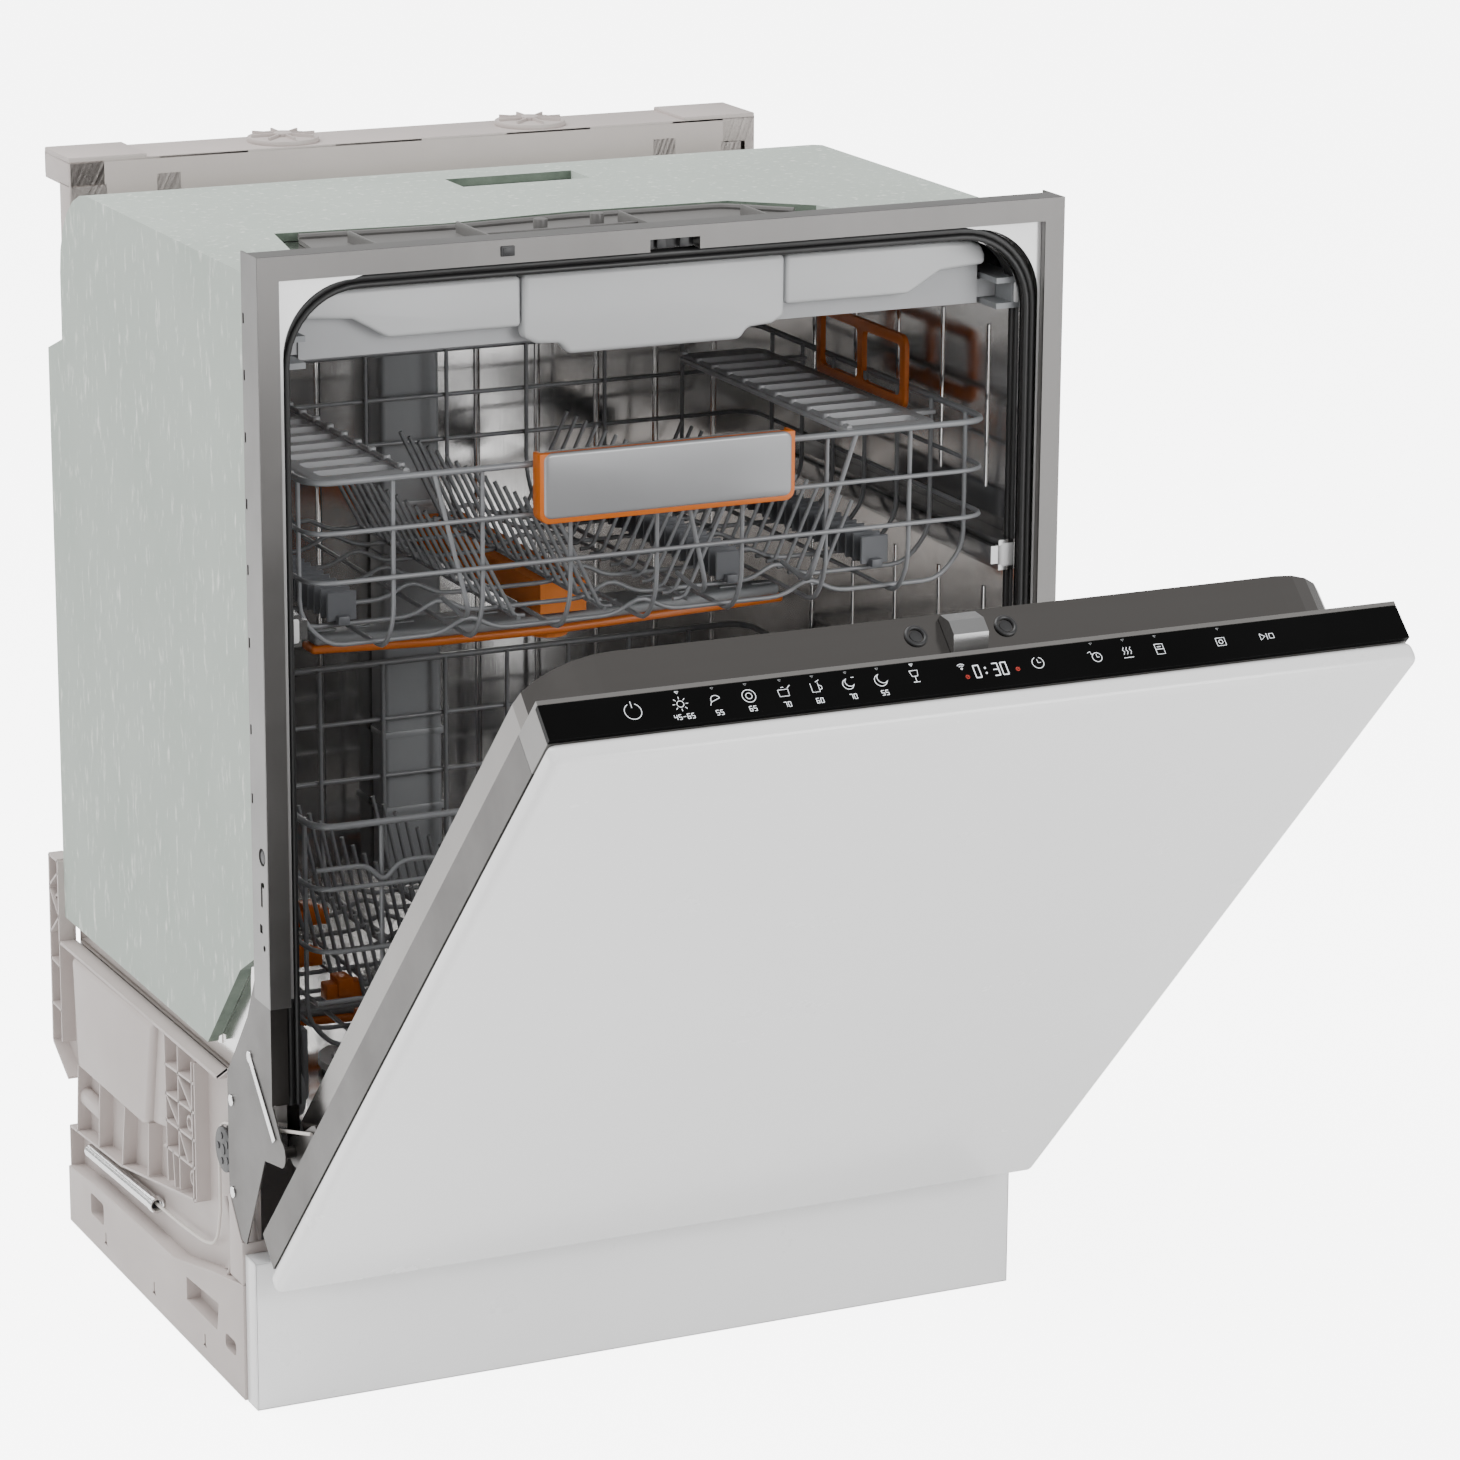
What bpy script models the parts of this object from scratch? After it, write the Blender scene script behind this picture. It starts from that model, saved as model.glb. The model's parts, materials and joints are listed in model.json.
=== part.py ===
"""Built-in dishwasher, 60 cm wide, standing with its door partly open.

Metres, +Z up, +X to the right, +Y towards the back.  The origin is on the floor
in the middle of the cabinet.  Cabinet pieces are drawn from the front face of the
frame (y = 0 there), and door pieces from the hinge line with the door upright.
"""
import math

import bmesh
import bpy
from mathutils import Matrix, Vector

# ------------------------------------------------------------------ driving sizes
FRONT_Y = -0.25          # front face of the frame, from the origin
HALF_WIDTH = 0.299       # half the width over the frame
HEIGHT = 0.8243          # top of the frame
GAP = 0.0004             # clearance between pieces that touch
RUN = 0.0005             # clearance around pieces that slide or turn
SHEET = 0.0012           # steel sheet
WALL = 0.0015            # tub wall

# frame
FRAME_BAR = 0.0163       # height of the top bar
FRAME_STRIP = 0.015      # width of the side strips
FRAME_DEPTH = 0.031      # depth of the side flanges
FRAME_FOOT_Z = 0.310     # lower end of the strips

# tub
TUB_HALF = HALF_WIDTH - 0.0165
TUB_FRONT = 0.016
TUB_TOP = HEIGHT - 0.0243
TUB_BOTTOM = 0.1985
TUB_BACK_UPPER = 0.427
TUB_BACK_LOWER = 0.460
TUB_STEP_Z = HEIGHT - 0.1403
TUB_BEND = 0.060
MOUTH_HALF = TUB_HALF - 0.009
MOUTH_TOP = TUB_TOP - 0.003
MOUTH_RADIUS = 0.050

# insulation
FELT = 0.006
FELT_HALF = HALF_WIDTH - 0.007
FELT_FRONT = 0.033
FELT_BOTTOM = 0.240
FELT_CHAMFER = 0.074

# base
BASE_BACK = 0.455
BASE_FRONT = 0.0935
POST_BACK = 0.490
POST_TOP = 0.285
WEB_INNER = HALF_WIDTH - 0.0158
WEB = 0.003
RIB_OUTER = HALF_WIDTH - 0.002
KICK_FRONT = 0.046
KICK_TOP = 0.110
KICK_FLANGE = 0.020
PAN_FLOOR = 0.012
PAN_WALL = 0.003

# door
PIVOT_Y = -0.0104
PIVOT_Z = 0.2105
DOOR_ANGLE = 43.8        # degrees from closed, as drawn
PIN_RADIUS = 0.004
PANEL_HALF = HALF_WIDTH - 0.0028
PANEL_FRONT = -0.0625
PANEL_BACK = -0.0463
PANEL_BOTTOM = -0.094
PANEL_TOP = HEIGHT - 0.2158
SHELL_HALF = HALF_WIDTH - 0.0045
SHELL_BACK = -0.0185
SHELL_BOTTOM = -0.086
HOUSING_BOTTOM = PANEL_TOP - 0.0365
STRIP_TOP = PANEL_TOP + 0.001
STRIP_THICK = 0.004
STRIP_LIP = 0.003
PLUG_HALF = HALF_WIDTH - 0.020
PLUG_FACE = 0.0184
PLUG_TOP = PANEL_TOP - 0.0145
PLUG_BOTTOM = 0.006
PLUG_FLOOR = -0.010
PLUG_RIM = 0.017
ARM_INNER = HALF_WIDTH - 0.0145
ARM_THICK = 0.003
CORD_END = (-0.0100, 0.0450)
PULLEY_Y = 0.1125
PULLEY_Z = 0.172
PULLEY_RADIUS = 0.0165
SPRING_BACK = 0.4190
SPRING_LENGTH = 0.149

# racks
RAIL_Z = HEIGHT - 0.2583
RAIL_HALF_Z = 0.011
RAIL_LENGTH = 0.385
RAIL_FRONT = 0.022
RAIL_INNER = TUB_HALF - 0.0185
SLIDER_OUTER = TUB_HALF - 0.0100
SLIDER_INNER = TUB_HALF - 0.0235
UPPER_HALF = TUB_HALF - 0.0257
UPPER_FRONT = 0.024
UPPER_BACK = 0.413
UPPER_TOP = HEIGHT - 0.1593
UPPER_FLOOR = HEIGHT - 0.2873
LOWER_HALF = TUB_HALF - 0.0360
LOWER_FRONT = 0.027
LOWER_BACK = 0.420
LOWER_TOP = HEIGHT - 0.3993
LOWER_FLOOR = 0.246
WIRE = 0.0018
UPPER_CROSS = [0.055 + 0.0525 * i for i in range(7)]
WHEEL_RADIUS = 0.018
WHEEL_THICK = 0.006
WHEEL_YS = (0.085, 0.335)
HANDLE_HALF = 0.096

# cutlery tray
TRAY_HALF = TUB_HALF - 0.0280
TRAY_FRONT = 0.0305
TRAY_BACK = 0.393
TRAY_FLOOR = HEIGHT - 0.0793
TRAY_TOP = HEIGHT - 0.0393
FASCIA_TIP = HEIGHT - 0.0503
FASCIA_WING = HEIGHT - 0.0673
FASCIA_BLOCK = HEIGHT - 0.0793
FASCIA_LOW = HEIGHT - 0.0893
FASCIA_THICK = 0.014
TRACK_INNER = TUB_HALF - 0.0245
TRAY_RUNNER = TUB_HALF - 0.0125

# water parts
SUMP_X = 0.030
SUMP_Y = 0.235
SUMP_RADIUS = 0.105
SUMP_FLOOR = 0.105
LOWER_ARM_Z = 0.2148
UPPER_ARM_Z = HEIGHT - 0.3283
UPPER_ARM_Y = 0.220
LOWER_ARM_REACH = 0.213
UPPER_ARM_REACH = 0.188
ARM_HEIGHT = 0.0160
FILTER_X = 0.075
FILTER_RADIUS = 0.035
NECK_X = -0.170
NECK_Y = 0.160
NECK_RADIUS = 0.030

COLOURS = {
    "steel": ((0.62, 0.61, 0.60), 0.28, 1.0),
    "mirror": ((0.72, 0.71, 0.70), 0.12, 1.0),
    "frame": ((0.60, 0.59, 0.58), 0.42, 0.6),
    "felt": ((0.66, 0.71, 0.66), 0.95, 0.0),
    "beige": ((0.72, 0.67, 0.64), 0.55, 0.0),
    "grey": ((0.48, 0.49, 0.50), 0.45, 0.0),
    "dark": ((0.05, 0.05, 0.05), 0.50, 0.0),
    "rubber": ((0.02, 0.02, 0.02), 0.65, 0.0),
    "white": ((0.86, 0.86, 0.86), 0.30, 0.0),
    "silver": ((0.62, 0.63, 0.65), 0.30, 0.2),
    "fascia": ((0.70, 0.71, 0.72), 0.40, 0.0),
    "orange": ((0.80, 0.22, 0.03), 0.40, 0.0),
    "glass": ((0.01, 0.01, 0.01), 0.08, 0.0),
    "wire": ((0.36, 0.37, 0.39), 0.45, 0.0),
}


# ------------------------------------------------------------------ shape helpers
def material(name, colour):
    """A Principled material for one node."""
    base, roughness, metallic = COLOURS[colour]
    mat = bpy.data.materials.new(name)
    mat.use_nodes = True
    shader = mat.node_tree.nodes["Principled BSDF"]
    shader.inputs["Base Color"].default_value = (*base, 1.0)
    shader.inputs["Roughness"].default_value = roughness
    shader.inputs["Metallic"].default_value = metallic
    mat.diffuse_color = (*base, 1.0)
    return mat


def box(x0, x1, y0, y1, z0, z1):
    """A block between two corners."""
    bm = bmesh.new()
    bmesh.ops.create_cube(bm, size=1.0)
    size = Vector((abs(x1 - x0), abs(y1 - y0), abs(z1 - z0)))
    centre = Vector((x0 + x1, y0 + y1, z0 + z1)) / 2
    bmesh.ops.scale(bm, vec=size, verts=bm.verts)
    bmesh.ops.translate(bm, vec=centre, verts=bm.verts)
    return bm


def on_axis(axis, u, v, along):
    """A point from two outline coordinates and its place along the axis."""
    return {"X": (along, u, v), "Y": (u, along, v), "Z": (u, v, along)}[axis]


def prism(axis, outline, low, high):
    """An outline, (y, z), (x, z) or (x, y), drawn out along X, Y or Z."""
    bm = bmesh.new()
    first = [bm.verts.new(on_axis(axis, u, v, low)) for u, v in outline]
    last = [bm.verts.new(on_axis(axis, u, v, high)) for u, v in outline]
    bm.faces.new(first)
    bm.faces.new(list(reversed(last)))
    count = len(outline)
    for i in range(count):
        j = (i + 1) % count
        bm.faces.new((first[j], first[i], last[i], last[j]))
    bmesh.ops.recalc_face_normals(bm, faces=bm.faces)
    return bm


def arc(u, v, radius, start, end, steps):
    """Points round a centre, angles in degrees."""
    angles = [math.radians(start + (end - start) * i / steps) for i in range(steps + 1)]
    return [(u + radius * math.cos(a), v + radius * math.sin(a)) for a in angles]


def rod(axis, u, v, radius, low, high, sides=20):
    """A round bar along X, Y or Z."""
    return prism(axis, arc(u, v, radius, 0, 360, sides)[:-1], low, high)


def merge(*shapes):
    """Several shapes that don't touch, as one."""
    whole = bmesh.new()
    for shape in shapes:
        mesh = bpy.data.meshes.new("scratch")
        shape.to_mesh(mesh)
        whole.from_mesh(mesh)
        bpy.data.meshes.remove(mesh)
    return whole


def wire(points, radius=WIRE, closed=False, sides=4):
    """A mitred bar along straight runs, square unless told otherwise."""
    points = [Vector(p) for p in points]
    count = len(points)
    runs = count if closed else count - 1
    ways = [(points[(i + 1) % count] - points[i]).normalized() for i in range(runs)]
    start = ways[-1] if closed else ways[0]
    across = Vector((1, 0, 0))
    if abs(start.z) < 0.9:
        across = start.cross(Vector((0, 0, 1))).normalized()
    corner = radius / math.cos(math.pi / sides)
    turn = math.pi / sides
    bm = bmesh.new()
    rings = []
    for i in range(count):
        before = ways[i - 1] if (closed or i > 0) else ways[0]
        after = ways[i] if i < runs else ways[-1]
        flat = (before + after).normalized()
        upright = before.cross(across).normalized()
        ring = []
        for k in range(sides):
            angle = turn + 2 * turn * k
            arm = (across * math.cos(angle) + upright * math.sin(angle)) * corner
            slide = -arm.dot(flat) / before.dot(flat)
            ring.append(bm.verts.new(points[i] + arm + before * slide))
        rings.append(ring)
        across = before.rotation_difference(after) @ across
    for i in range(runs):
        near, far = rings[i], rings[(i + 1) % count]
        for k in range(sides):
            m = (k + 1) % sides
            bm.faces.new((near[k], near[m], far[m], far[k]))
    if not closed:
        bm.faces.new(list(reversed(rings[0])))
        bm.faces.new(rings[-1])
    bmesh.ops.recalc_face_normals(bm, faces=bm.faces)
    return bm


def empty(name, parent, place, tilt=0.0):
    """A carrier for pieces that move together."""
    carrier = bpy.data.objects.new(name, None)
    carrier.parent = parent
    carrier.location = place
    carrier.rotation_euler = (math.radians(tilt), 0, 0)
    bpy.context.collection.objects.link(carrier)
    return carrier


def place(name, shape, parent, origin):
    """An object from a shape, with its own origin."""
    bmesh.ops.translate(shape, vec=-Vector(origin), verts=shape.verts)
    mesh = bpy.data.meshes.new(name)
    shape.to_mesh(mesh)
    shape.free()
    thing = bpy.data.objects.new(name, mesh)
    thing.parent = parent
    thing.location = origin
    bpy.context.collection.objects.link(thing)
    return thing


def refine(thing, parent, *steps):
    """Boolean steps on a sub-part: each is a shape and an operation."""
    for tool, operation in steps:
        guide = place(f"{thing.name}_guide{len(thing.modifiers)}", tool, parent, thing.location)
        guide.hide_render = True
        guide.display_type = "WIRE"
        step = thing.modifiers.new(f"step{len(thing.modifiers)}", "BOOLEAN")
        step.operation = operation
        step.object = guide


def node(name, shape, colour, parent, origin=(0, 0, 0), add=(), cut=(), smooth=False):
    """One sub-part: a shape, what is joined to it and what is cut from it."""
    thing = place(name, shape, parent, origin)
    thing.data.materials.append(material(name + "_look", colour))
    steps = [(tool, "UNION") for tool in add] + [(tool, "DIFFERENCE") for tool in cut]
    refine(thing, parent, *steps)
    if smooth:
        thing.data.shade_smooth()
        thing.data.set_sharp_from_angle(angle=math.radians(40))
    return thing


def both(name, build, colour, parent, **extra):
    """A left and a right piece; build(side) returns shape, add and cut."""
    for side, word in ((-1, "left"), (1, "right")):
        shape, add, cut = build(side)
        node(f"{name}_{word}", shape, colour, parent, add=add, cut=cut, **extra)


def span(side, inner, outer):
    """Low and high x of a piece between two distances from the middle."""
    return sorted((side * inner, side * outer))


# ------------------------------------------------------------------ outlines
def mouth_outline(half, low, top, radius):
    """An upright opening with rounded upper corners, (x, z)."""
    right = arc(half - radius, top - radius, radius, 0, 90, 6)
    left = arc(radius - half, top - radius, radius, 90, 180, 6)
    return [(half, low)] + right + left + [(-half, low)]


def tub_outline(inset, front=None):
    """Side view of the tub, (y, z), drawn inwards by inset."""
    start = TUB_FRONT + inset if front is None else front
    upper, lower = TUB_BACK_UPPER - inset, TUB_BACK_LOWER - inset
    bend = TUB_BEND - inset
    back = arc(TUB_BACK_UPPER - TUB_BEND, TUB_TOP - TUB_BEND, bend, 90, 0, 6)
    low = TUB_BOTTOM + inset
    step = [(upper, TUB_STEP_Z + 0.006 - inset), (lower, TUB_STEP_Z - 0.006 - inset)]
    return [(start, low), (start, TUB_TOP - inset)] + back + step + [(lower, low)]


def shift(outline, du, dv):
    """The same outline, moved."""
    return [(u + du, v + dv) for u, v in outline]


# ------------------------------------------------------------------ cabinet
def build_tub(cabinet):
    body = prism("X", tub_outline(0), -TUB_HALF, TUB_HALF)
    flange_half, flange_top = HALF_WIDTH - 0.009, HEIGHT - FRAME_BAR - GAP
    flange = box(-flange_half, flange_half, TUB_FRONT, TUB_FRONT + WALL, 0.235, flange_top)
    hollow = prism("X", tub_outline(WALL), WALL - TUB_HALF, TUB_HALF - WALL)
    outline = mouth_outline(MOUTH_HALF, TUB_BOTTOM + WALL, MOUTH_TOP, MOUTH_RADIUS)
    mouth = prism("Y", outline, TUB_FRONT - 0.01, TUB_FRONT + 0.01)
    drain = rod("Z", SUMP_X, SUMP_Y, SUMP_RADIUS - 0.007, 0.18, 0.21, 32)
    neck = rod("Z", NECK_X, NECK_Y, NECK_RADIUS + GAP, 0.18, 0.21)
    node("tub", body, "mirror", cabinet, add=[flange], cut=[hollow, mouth, merge(drain, neck)])


def build_frame(cabinet):
    inner = HALF_WIDTH - FRAME_STRIP
    bar_low = HEIGHT - FRAME_BAR
    face = [(-HALF_WIDTH, FRAME_FOOT_Z), (-HALF_WIDTH, HEIGHT), (HALF_WIDTH, HEIGHT)]
    face += [(HALF_WIDTH, FRAME_FOOT_Z), (inner, FRAME_FOOT_Z), (inner, bar_low)]
    face += [(-inner, bar_low), (-inner, FRAME_FOOT_Z)]
    outer = box(-HALF_WIDTH, HALF_WIDTH, 0.0002, FRAME_DEPTH, FRAME_FOOT_Z, HEIGHT)
    hollow = box(SHEET - HALF_WIDTH, HALF_WIDTH - SHEET, -0.01, 0.04, 0.2, HEIGHT - SHEET)
    top_back = box(0.0025 - TUB_HALF, TUB_HALF - 0.0025, 0.022, 0.04, HEIGHT - 0.01, HEIGHT + 0.01)
    catch = box(-0.0185, 0.0185, -0.01, 0.01, bar_low - 0.01, bar_low + 0.0125)
    skirt = node("front_frame", outer, "frame", cabinet, cut=[hollow])
    refine(skirt, cabinet, (prism("Y", face, 0, SHEET), "UNION"),
           (merge(top_back, catch), "DIFFERENCE"))


def build_gasket(cabinet):
    """The seal runs up both sides and over the top, in front of the tub's flange."""
    band = 0.0102
    half, top = MOUTH_HALF + band, MOUTH_TOP + band
    outline = mouth_outline(half, TUB_BOTTOM + 0.038, top, MOUTH_RADIUS + band)
    hole = mouth_outline(MOUTH_HALF, 0.1, MOUTH_TOP, MOUTH_RADIUS)
    front = PIVOT_Y + PLUG_FACE + GAP
    seal = prism("Y", outline, front, TUB_FRONT - GAP)
    node("door_gasket", seal, "rubber", cabinet, cut=[prism("Y", hole, -0.1, 0.1)])


def build_felt(cabinet):
    """A felt hood over the top, the sides and the back of the tub."""
    low = FELT_BOTTOM
    top = TUB_TOP + GAP + FELT
    bend = TUB_BEND + GAP + FELT
    upper, lower = TUB_BACK_UPPER + GAP + FELT, TUB_BACK_LOWER + GAP + FELT
    slope = FELT_CHAMFER / 1.065
    outline = [(FELT_FRONT + 0.0455 + slope, low), (FELT_FRONT + 0.0455, low + FELT_CHAMFER)]
    outline += [(FELT_FRONT, low + FELT_CHAMFER + 0.026), (FELT_FRONT, top)]
    outline += arc(upper - bend, top - bend, bend, 90, 0, 6)
    outline += [(upper, TUB_STEP_Z + 0.007), (lower, TUB_STEP_Z - 0.005), (lower, low)]
    hood = prism("X", outline, -FELT_HALF, FELT_HALF)
    core = tub_outline(-GAP, front=-0.1)
    hollow = prism("X", core, -TUB_HALF - GAP, TUB_HALF + GAP)
    edge = FELT_FRONT - 0.01
    cutout = [(-0.250, edge), (-0.222, 0.175), (-0.10, 0.166), (0.0, 0.176), (0.12, 0.172)]
    cutout += [(0.170, 0.130), (0.205, edge)]
    window = prism("Z", cutout, TUB_TOP - 0.03, TUB_TOP + 0.03)
    peep = box(-0.03, 0.07, 0.300, 0.335, TUB_TOP - 0.03, TUB_TOP + 0.03)
    lugs = [box(*span(s, 0.188, 0.212), upper - 0.03, upper + 0.03, TUB_TOP - 0.087, TUB_TOP - 0.063)
            for s in (-1, 1)]
    node("insulation_blanket", hood, "felt", cabinet, cut=[hollow, merge(window, peep, *lugs)])


def build_brace(cabinet):
    """Rear cross brace, hung on two legs that reach the tub's back wall."""
    front, back = TUB_BACK_UPPER + 0.0266, TUB_BACK_UPPER + 0.0832
    half, top = HALF_WIDTH - 0.0226, TUB_TOP + 0.0204
    beam = box(-half, half, front, back, TUB_TOP, top)
    pockets = [box(x - 0.024, x + 0.024, front + 0.004, back - 0.004, TUB_TOP - 0.1, top - 0.004)
               for x in [-0.243 + 0.054 * i for i in range(10)]]
    reach = TUB_BACK_UPPER + GAP
    ear, step, toe = TUB_TOP + 0.005, TUB_TOP - 0.065, TUB_TOP - 0.085
    leg = [(front, ear), (front, step), (reach, step), (reach, toe), (front + 0.004, toe)]
    leg += [(front + 0.004, ear)]
    legs = merge(*[prism("X", leg, *span(s, 0.190, 0.210)) for s in (-1, 1)])
    blocks = merge(*[box(*span(s, half - 0.028, half), front, back, TUB_TOP - 0.003, TUB_TOP + 0.010)
                     for s in (-1, 1)])
    node("rear_brace", beam, "beige", cabinet, cut=[merge(*pockets)], add=[legs, blocks])


def build_top_module(cabinet):
    """Plastic vent and latch carrier on the tub's roof, behind the top bar."""
    low = TUB_TOP + GAP
    front = TUB_FRONT + WALL + GAP
    plate = [(-0.225, front), (-0.208, 0.165), (-0.10, 0.158), (0.0, 0.166), (0.11, 0.162)]
    plate += [(0.150, 0.125), (0.175, front)]
    base = prism("Z", plate, low, low + 0.005)
    beam = box(-0.200, 0.150, front, 0.036, low + 0.001, low + 0.011)
    slot = box(-0.170, -0.130, 0.045, 0.065, low - 0.01, low + 0.02)
    nose = box(-0.017, 0.017, front + 0.001, 0.030, low + 0.002, low + 0.0195)
    node("latch_module", base, "grey", cabinet, add=[beam, nose], cut=[slot])


def build_base(cabinet):
    def side_shape(side):
        step = FELT_BOTTOM - 0.002
        felt_back = TUB_BACK_LOWER + 2 * GAP + FELT
        front = KICK_FRONT + KICK_FLANGE + GAP
        outline = [(front, 0.001), (BASE_BACK, 0.001), (BASE_BACK, 0.115)]
        outline += [(POST_BACK, 0.135), (POST_BACK - 0.002, POST_TOP), (felt_back, POST_TOP)]
        outline += [(felt_back, 0.2200), (0.118, 0.2240), (BASE_FRONT, step), (BASE_FRONT, 0.095)]
        outline += [(front, 0.090)]
        plate = prism("X", outline, *span(side, WEB_INNER, RIB_OUTER))
        band = box(*span(side, WEB_INNER + 0.001, HALF_WIDTH), front + 0.0002, BASE_BACK - 0.001,
                   0, 0.047)
        ledge = box(*span(side, WEB_INNER - 0.0212, WEB_INNER + 0.001), 0.100, BASE_BACK - 0.005,
                    TUB_BOTTOM - GAP - 0.006, TUB_BOTTOM - GAP)
        depth = span(side, WEB_INNER + WEB, HALF_WIDTH + 0.01)
        channel = [(0.115, 0.052), (SPRING_BACK, 0.052), (SPRING_BACK, 0.074), (0.152, 0.1065)]
        channel += [(0.152, 0.1125), (0.165, 0.111), (0.165, 0.2185), (0.120, 0.2205)]
        channel += [(0.100, 0.230), (0.100, 0.118), (0.115, 0.118)]
        cells = [[(a, 0.115), (a + 0.060, 0.107), (a + 0.060, 0.216), (a, 0.217)]
                 for a in (0.171, 0.237, 0.303)]
        cells += [[(0.369, 0.100), (0.449, 0.120), (0.449, 0.216), (0.369, 0.216)]]
        cells += [[(felt_back + 0.004, 0.140), (POST_BACK - 0.005, 0.140),
                   (POST_BACK - 0.005, POST_TOP - 0.005), (felt_back + 0.004, POST_TOP - 0.005)]]
        pockets = merge(*[prism("X", cell, *depth) for cell in cells])
        doorway = box(*depth, 0.085, 0.108, 0.125, 0.205)
        return plate, [band, ledge], [pockets, prism("X", channel, *depth), doorway]

    both("base_side", side_shape, "beige", cabinet)

    half = WEB_INNER - GAP
    front, back = BASE_FRONT + 0.001, BASE_BACK - 0.002
    pan = box(-half, half, front, back, PAN_FLOOR, 0.100)
    hollow = box(PAN_WALL - half, half - PAN_WALL, front + PAN_WALL, back - PAN_WALL,
                 PAN_FLOOR + PAN_WALL, 0.2)
    holes = [rod("Z", x, y, 0.0065, 0, 0.05, 12) for x, y in FOOT_PLACES]
    skid = box(-0.060, 0.060, 0.200, 0.300, 0, PAN_FLOOR + 0.001)
    node("base_pan", pan, "beige", cabinet, add=[skid], cut=[hollow, merge(*holes)])

    back = KICK_FRONT + KICK_FLANGE
    kick = [(KICK_FRONT, 0), (KICK_FRONT, KICK_TOP), (back, KICK_TOP)]
    kick += [(back, KICK_TOP - 0.0025), (KICK_FRONT + 0.0025, KICK_TOP - 0.0025)]
    kick += [(KICK_FRONT + 0.0025, 0)]
    shelf = box(-RIB_OUTER, RIB_OUTER, KICK_FRONT + 0.001, back, 0, 0.0025)
    node("kick_plate", prism("X", kick, -RIB_OUTER, RIB_OUTER), "white", cabinet, add=[shelf])


FOOT_PLACES = [(-0.250, 0.125), (0.250, 0.125), (0.0, 0.415)]


def build_feet(cabinet):
    for name, (x, y) in zip(("front_left", "front_right", "rear"), FOOT_PLACES):
        pad = rod("Z", x, y, 0.018, 0, 0.008, 16)
        stem = rod("Z", x, y, 0.006, 0.004, 0.080, 12)
        node("foot_" + name, pad, "dark", cabinet, origin=(x, y, 0), add=[stem], smooth=True)


def build_water_parts(cabinet):
    top = TUB_BOTTOM - GAP
    bore = SUMP_RADIUS - 0.007
    cup = rod("Z", SUMP_X, SUMP_Y, SUMP_RADIUS, SUMP_FLOOR, top, 32)
    well = rod("Z", SUMP_X, SUMP_Y, bore, SUMP_FLOOR + 0.003, 0.25, 32)
    sump = node("sump", cup, "grey", cabinet, cut=[well], smooth=True)
    post = rod("Z", 0, SUMP_Y, 0.016, SUMP_FLOOR + 0.001, LOWER_ARM_Z - GAP, 16)
    pin = rod("Z", 0, SUMP_Y, 0.010, SUMP_FLOOR + 0.002, LOWER_ARM_Z + 0.013, 16)
    refine(sump, cabinet, (post, "UNION"), (pin, "UNION"))

    floor = SUMP_FLOOR + 0.003 + GAP
    barrel = rod("Z", FILTER_X, SUMP_Y, FILTER_RADIUS, floor, 0.196, 24)
    grip = box(FILTER_X - 0.022, FILTER_X + 0.022, SUMP_Y - 0.004, SUMP_Y + 0.004, 0.19, 0.208)
    node("filter_cylinder", barrel, "grey", cabinet, origin=(FILTER_X, SUMP_Y, 0), add=[grip],
         smooth=True)

    pan = PAN_FLOOR + PAN_WALL + GAP
    motor = rod("X", 0.200, 0.0535, 0.034, 0.030, 0.170, 20)
    cradle = box(0.050, 0.150, 0.180, 0.220, pan, 0.040)
    outlet = rod("Z", 0.070, 0.200, 0.012, 0.060, SUMP_FLOOR - GAP, 12)
    node("wash_pump", motor, "dark", cabinet, add=[cradle, outlet], smooth=True)

    motor = rod("Y", -0.050, 0.045, 0.024, 0.240, 0.340, 16)
    cradle = box(-0.062, -0.038, 0.260, 0.320, pan, 0.035)
    outlet = rod("Z", -0.050, 0.265, 0.010, 0.050, SUMP_FLOOR - GAP, 12)
    node("drain_pump", motor, "dark", cabinet, add=[cradle, outlet], smooth=True)

    tank = box(-0.225, -0.115, 0.115, 0.230, pan, 0.188)
    neck = rod("Z", NECK_X, NECK_Y, NECK_RADIUS, 0.180, 0.2035, 24)
    node("water_softener", tank, "grey", cabinet, add=[neck])
    lid = rod("Z", NECK_X, NECK_Y, 0.033, 0.2035 + GAP, 0.2095, 24)
    bar = box(NECK_X - 0.024, NECK_X + 0.024, NECK_Y - 0.003, NECK_Y + 0.003, 0.208, 0.2130)
    node("salt_cap", lid, "white", cabinet, origin=(NECK_X, NECK_Y, 0), add=[bar], smooth=True)

    back_low, back_high = TUB_BACK_LOWER - WALL - GAP, TUB_BACK_UPPER - WALL - GAP
    duct = [(back_low - 0.030, 0.240), (back_low, 0.240)]
    duct += [(back_low, TUB_STEP_Z - 0.014), (back_high, TUB_STEP_Z - 0.002)]
    duct_top = TUB_STEP_Z + 0.046
    duct += [(back_high, duct_top), (back_high - 0.026, duct_top), (back_high - 0.026, TUB_STEP_Z - 0.008)]
    duct += [(back_low - 0.030, TUB_STEP_Z - 0.020)]
    node("supply_duct", prism("X", duct, -0.045, 0.003), "grey", cabinet)


def arm_shape(x, y, low, reach):
    """A spray arm lying along X: a hub and a blade that narrows to its tips."""
    blade = [(-reach, -0.015), (-0.03, -0.028), (0.03, -0.028), (reach, -0.015)]
    blade += [(reach, 0.015), (0.03, 0.028), (-0.03, 0.028), (-reach, 0.015)]
    return prism("Z", shift(blade, x, y), low, low + ARM_HEIGHT)


def build_lower_arm(cabinet):
    body = arm_shape(0, SUMP_Y, LOWER_ARM_Z, LOWER_ARM_REACH)
    hole = rod("Z", 0, SUMP_Y, 0.010 + RUN, LOWER_ARM_Z - 0.01, LOWER_ARM_Z + 0.0135, 16)
    node("lower_spray_arm", body, "grey", cabinet, origin=(0, SUMP_Y, LOWER_ARM_Z), cut=[hole])


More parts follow.
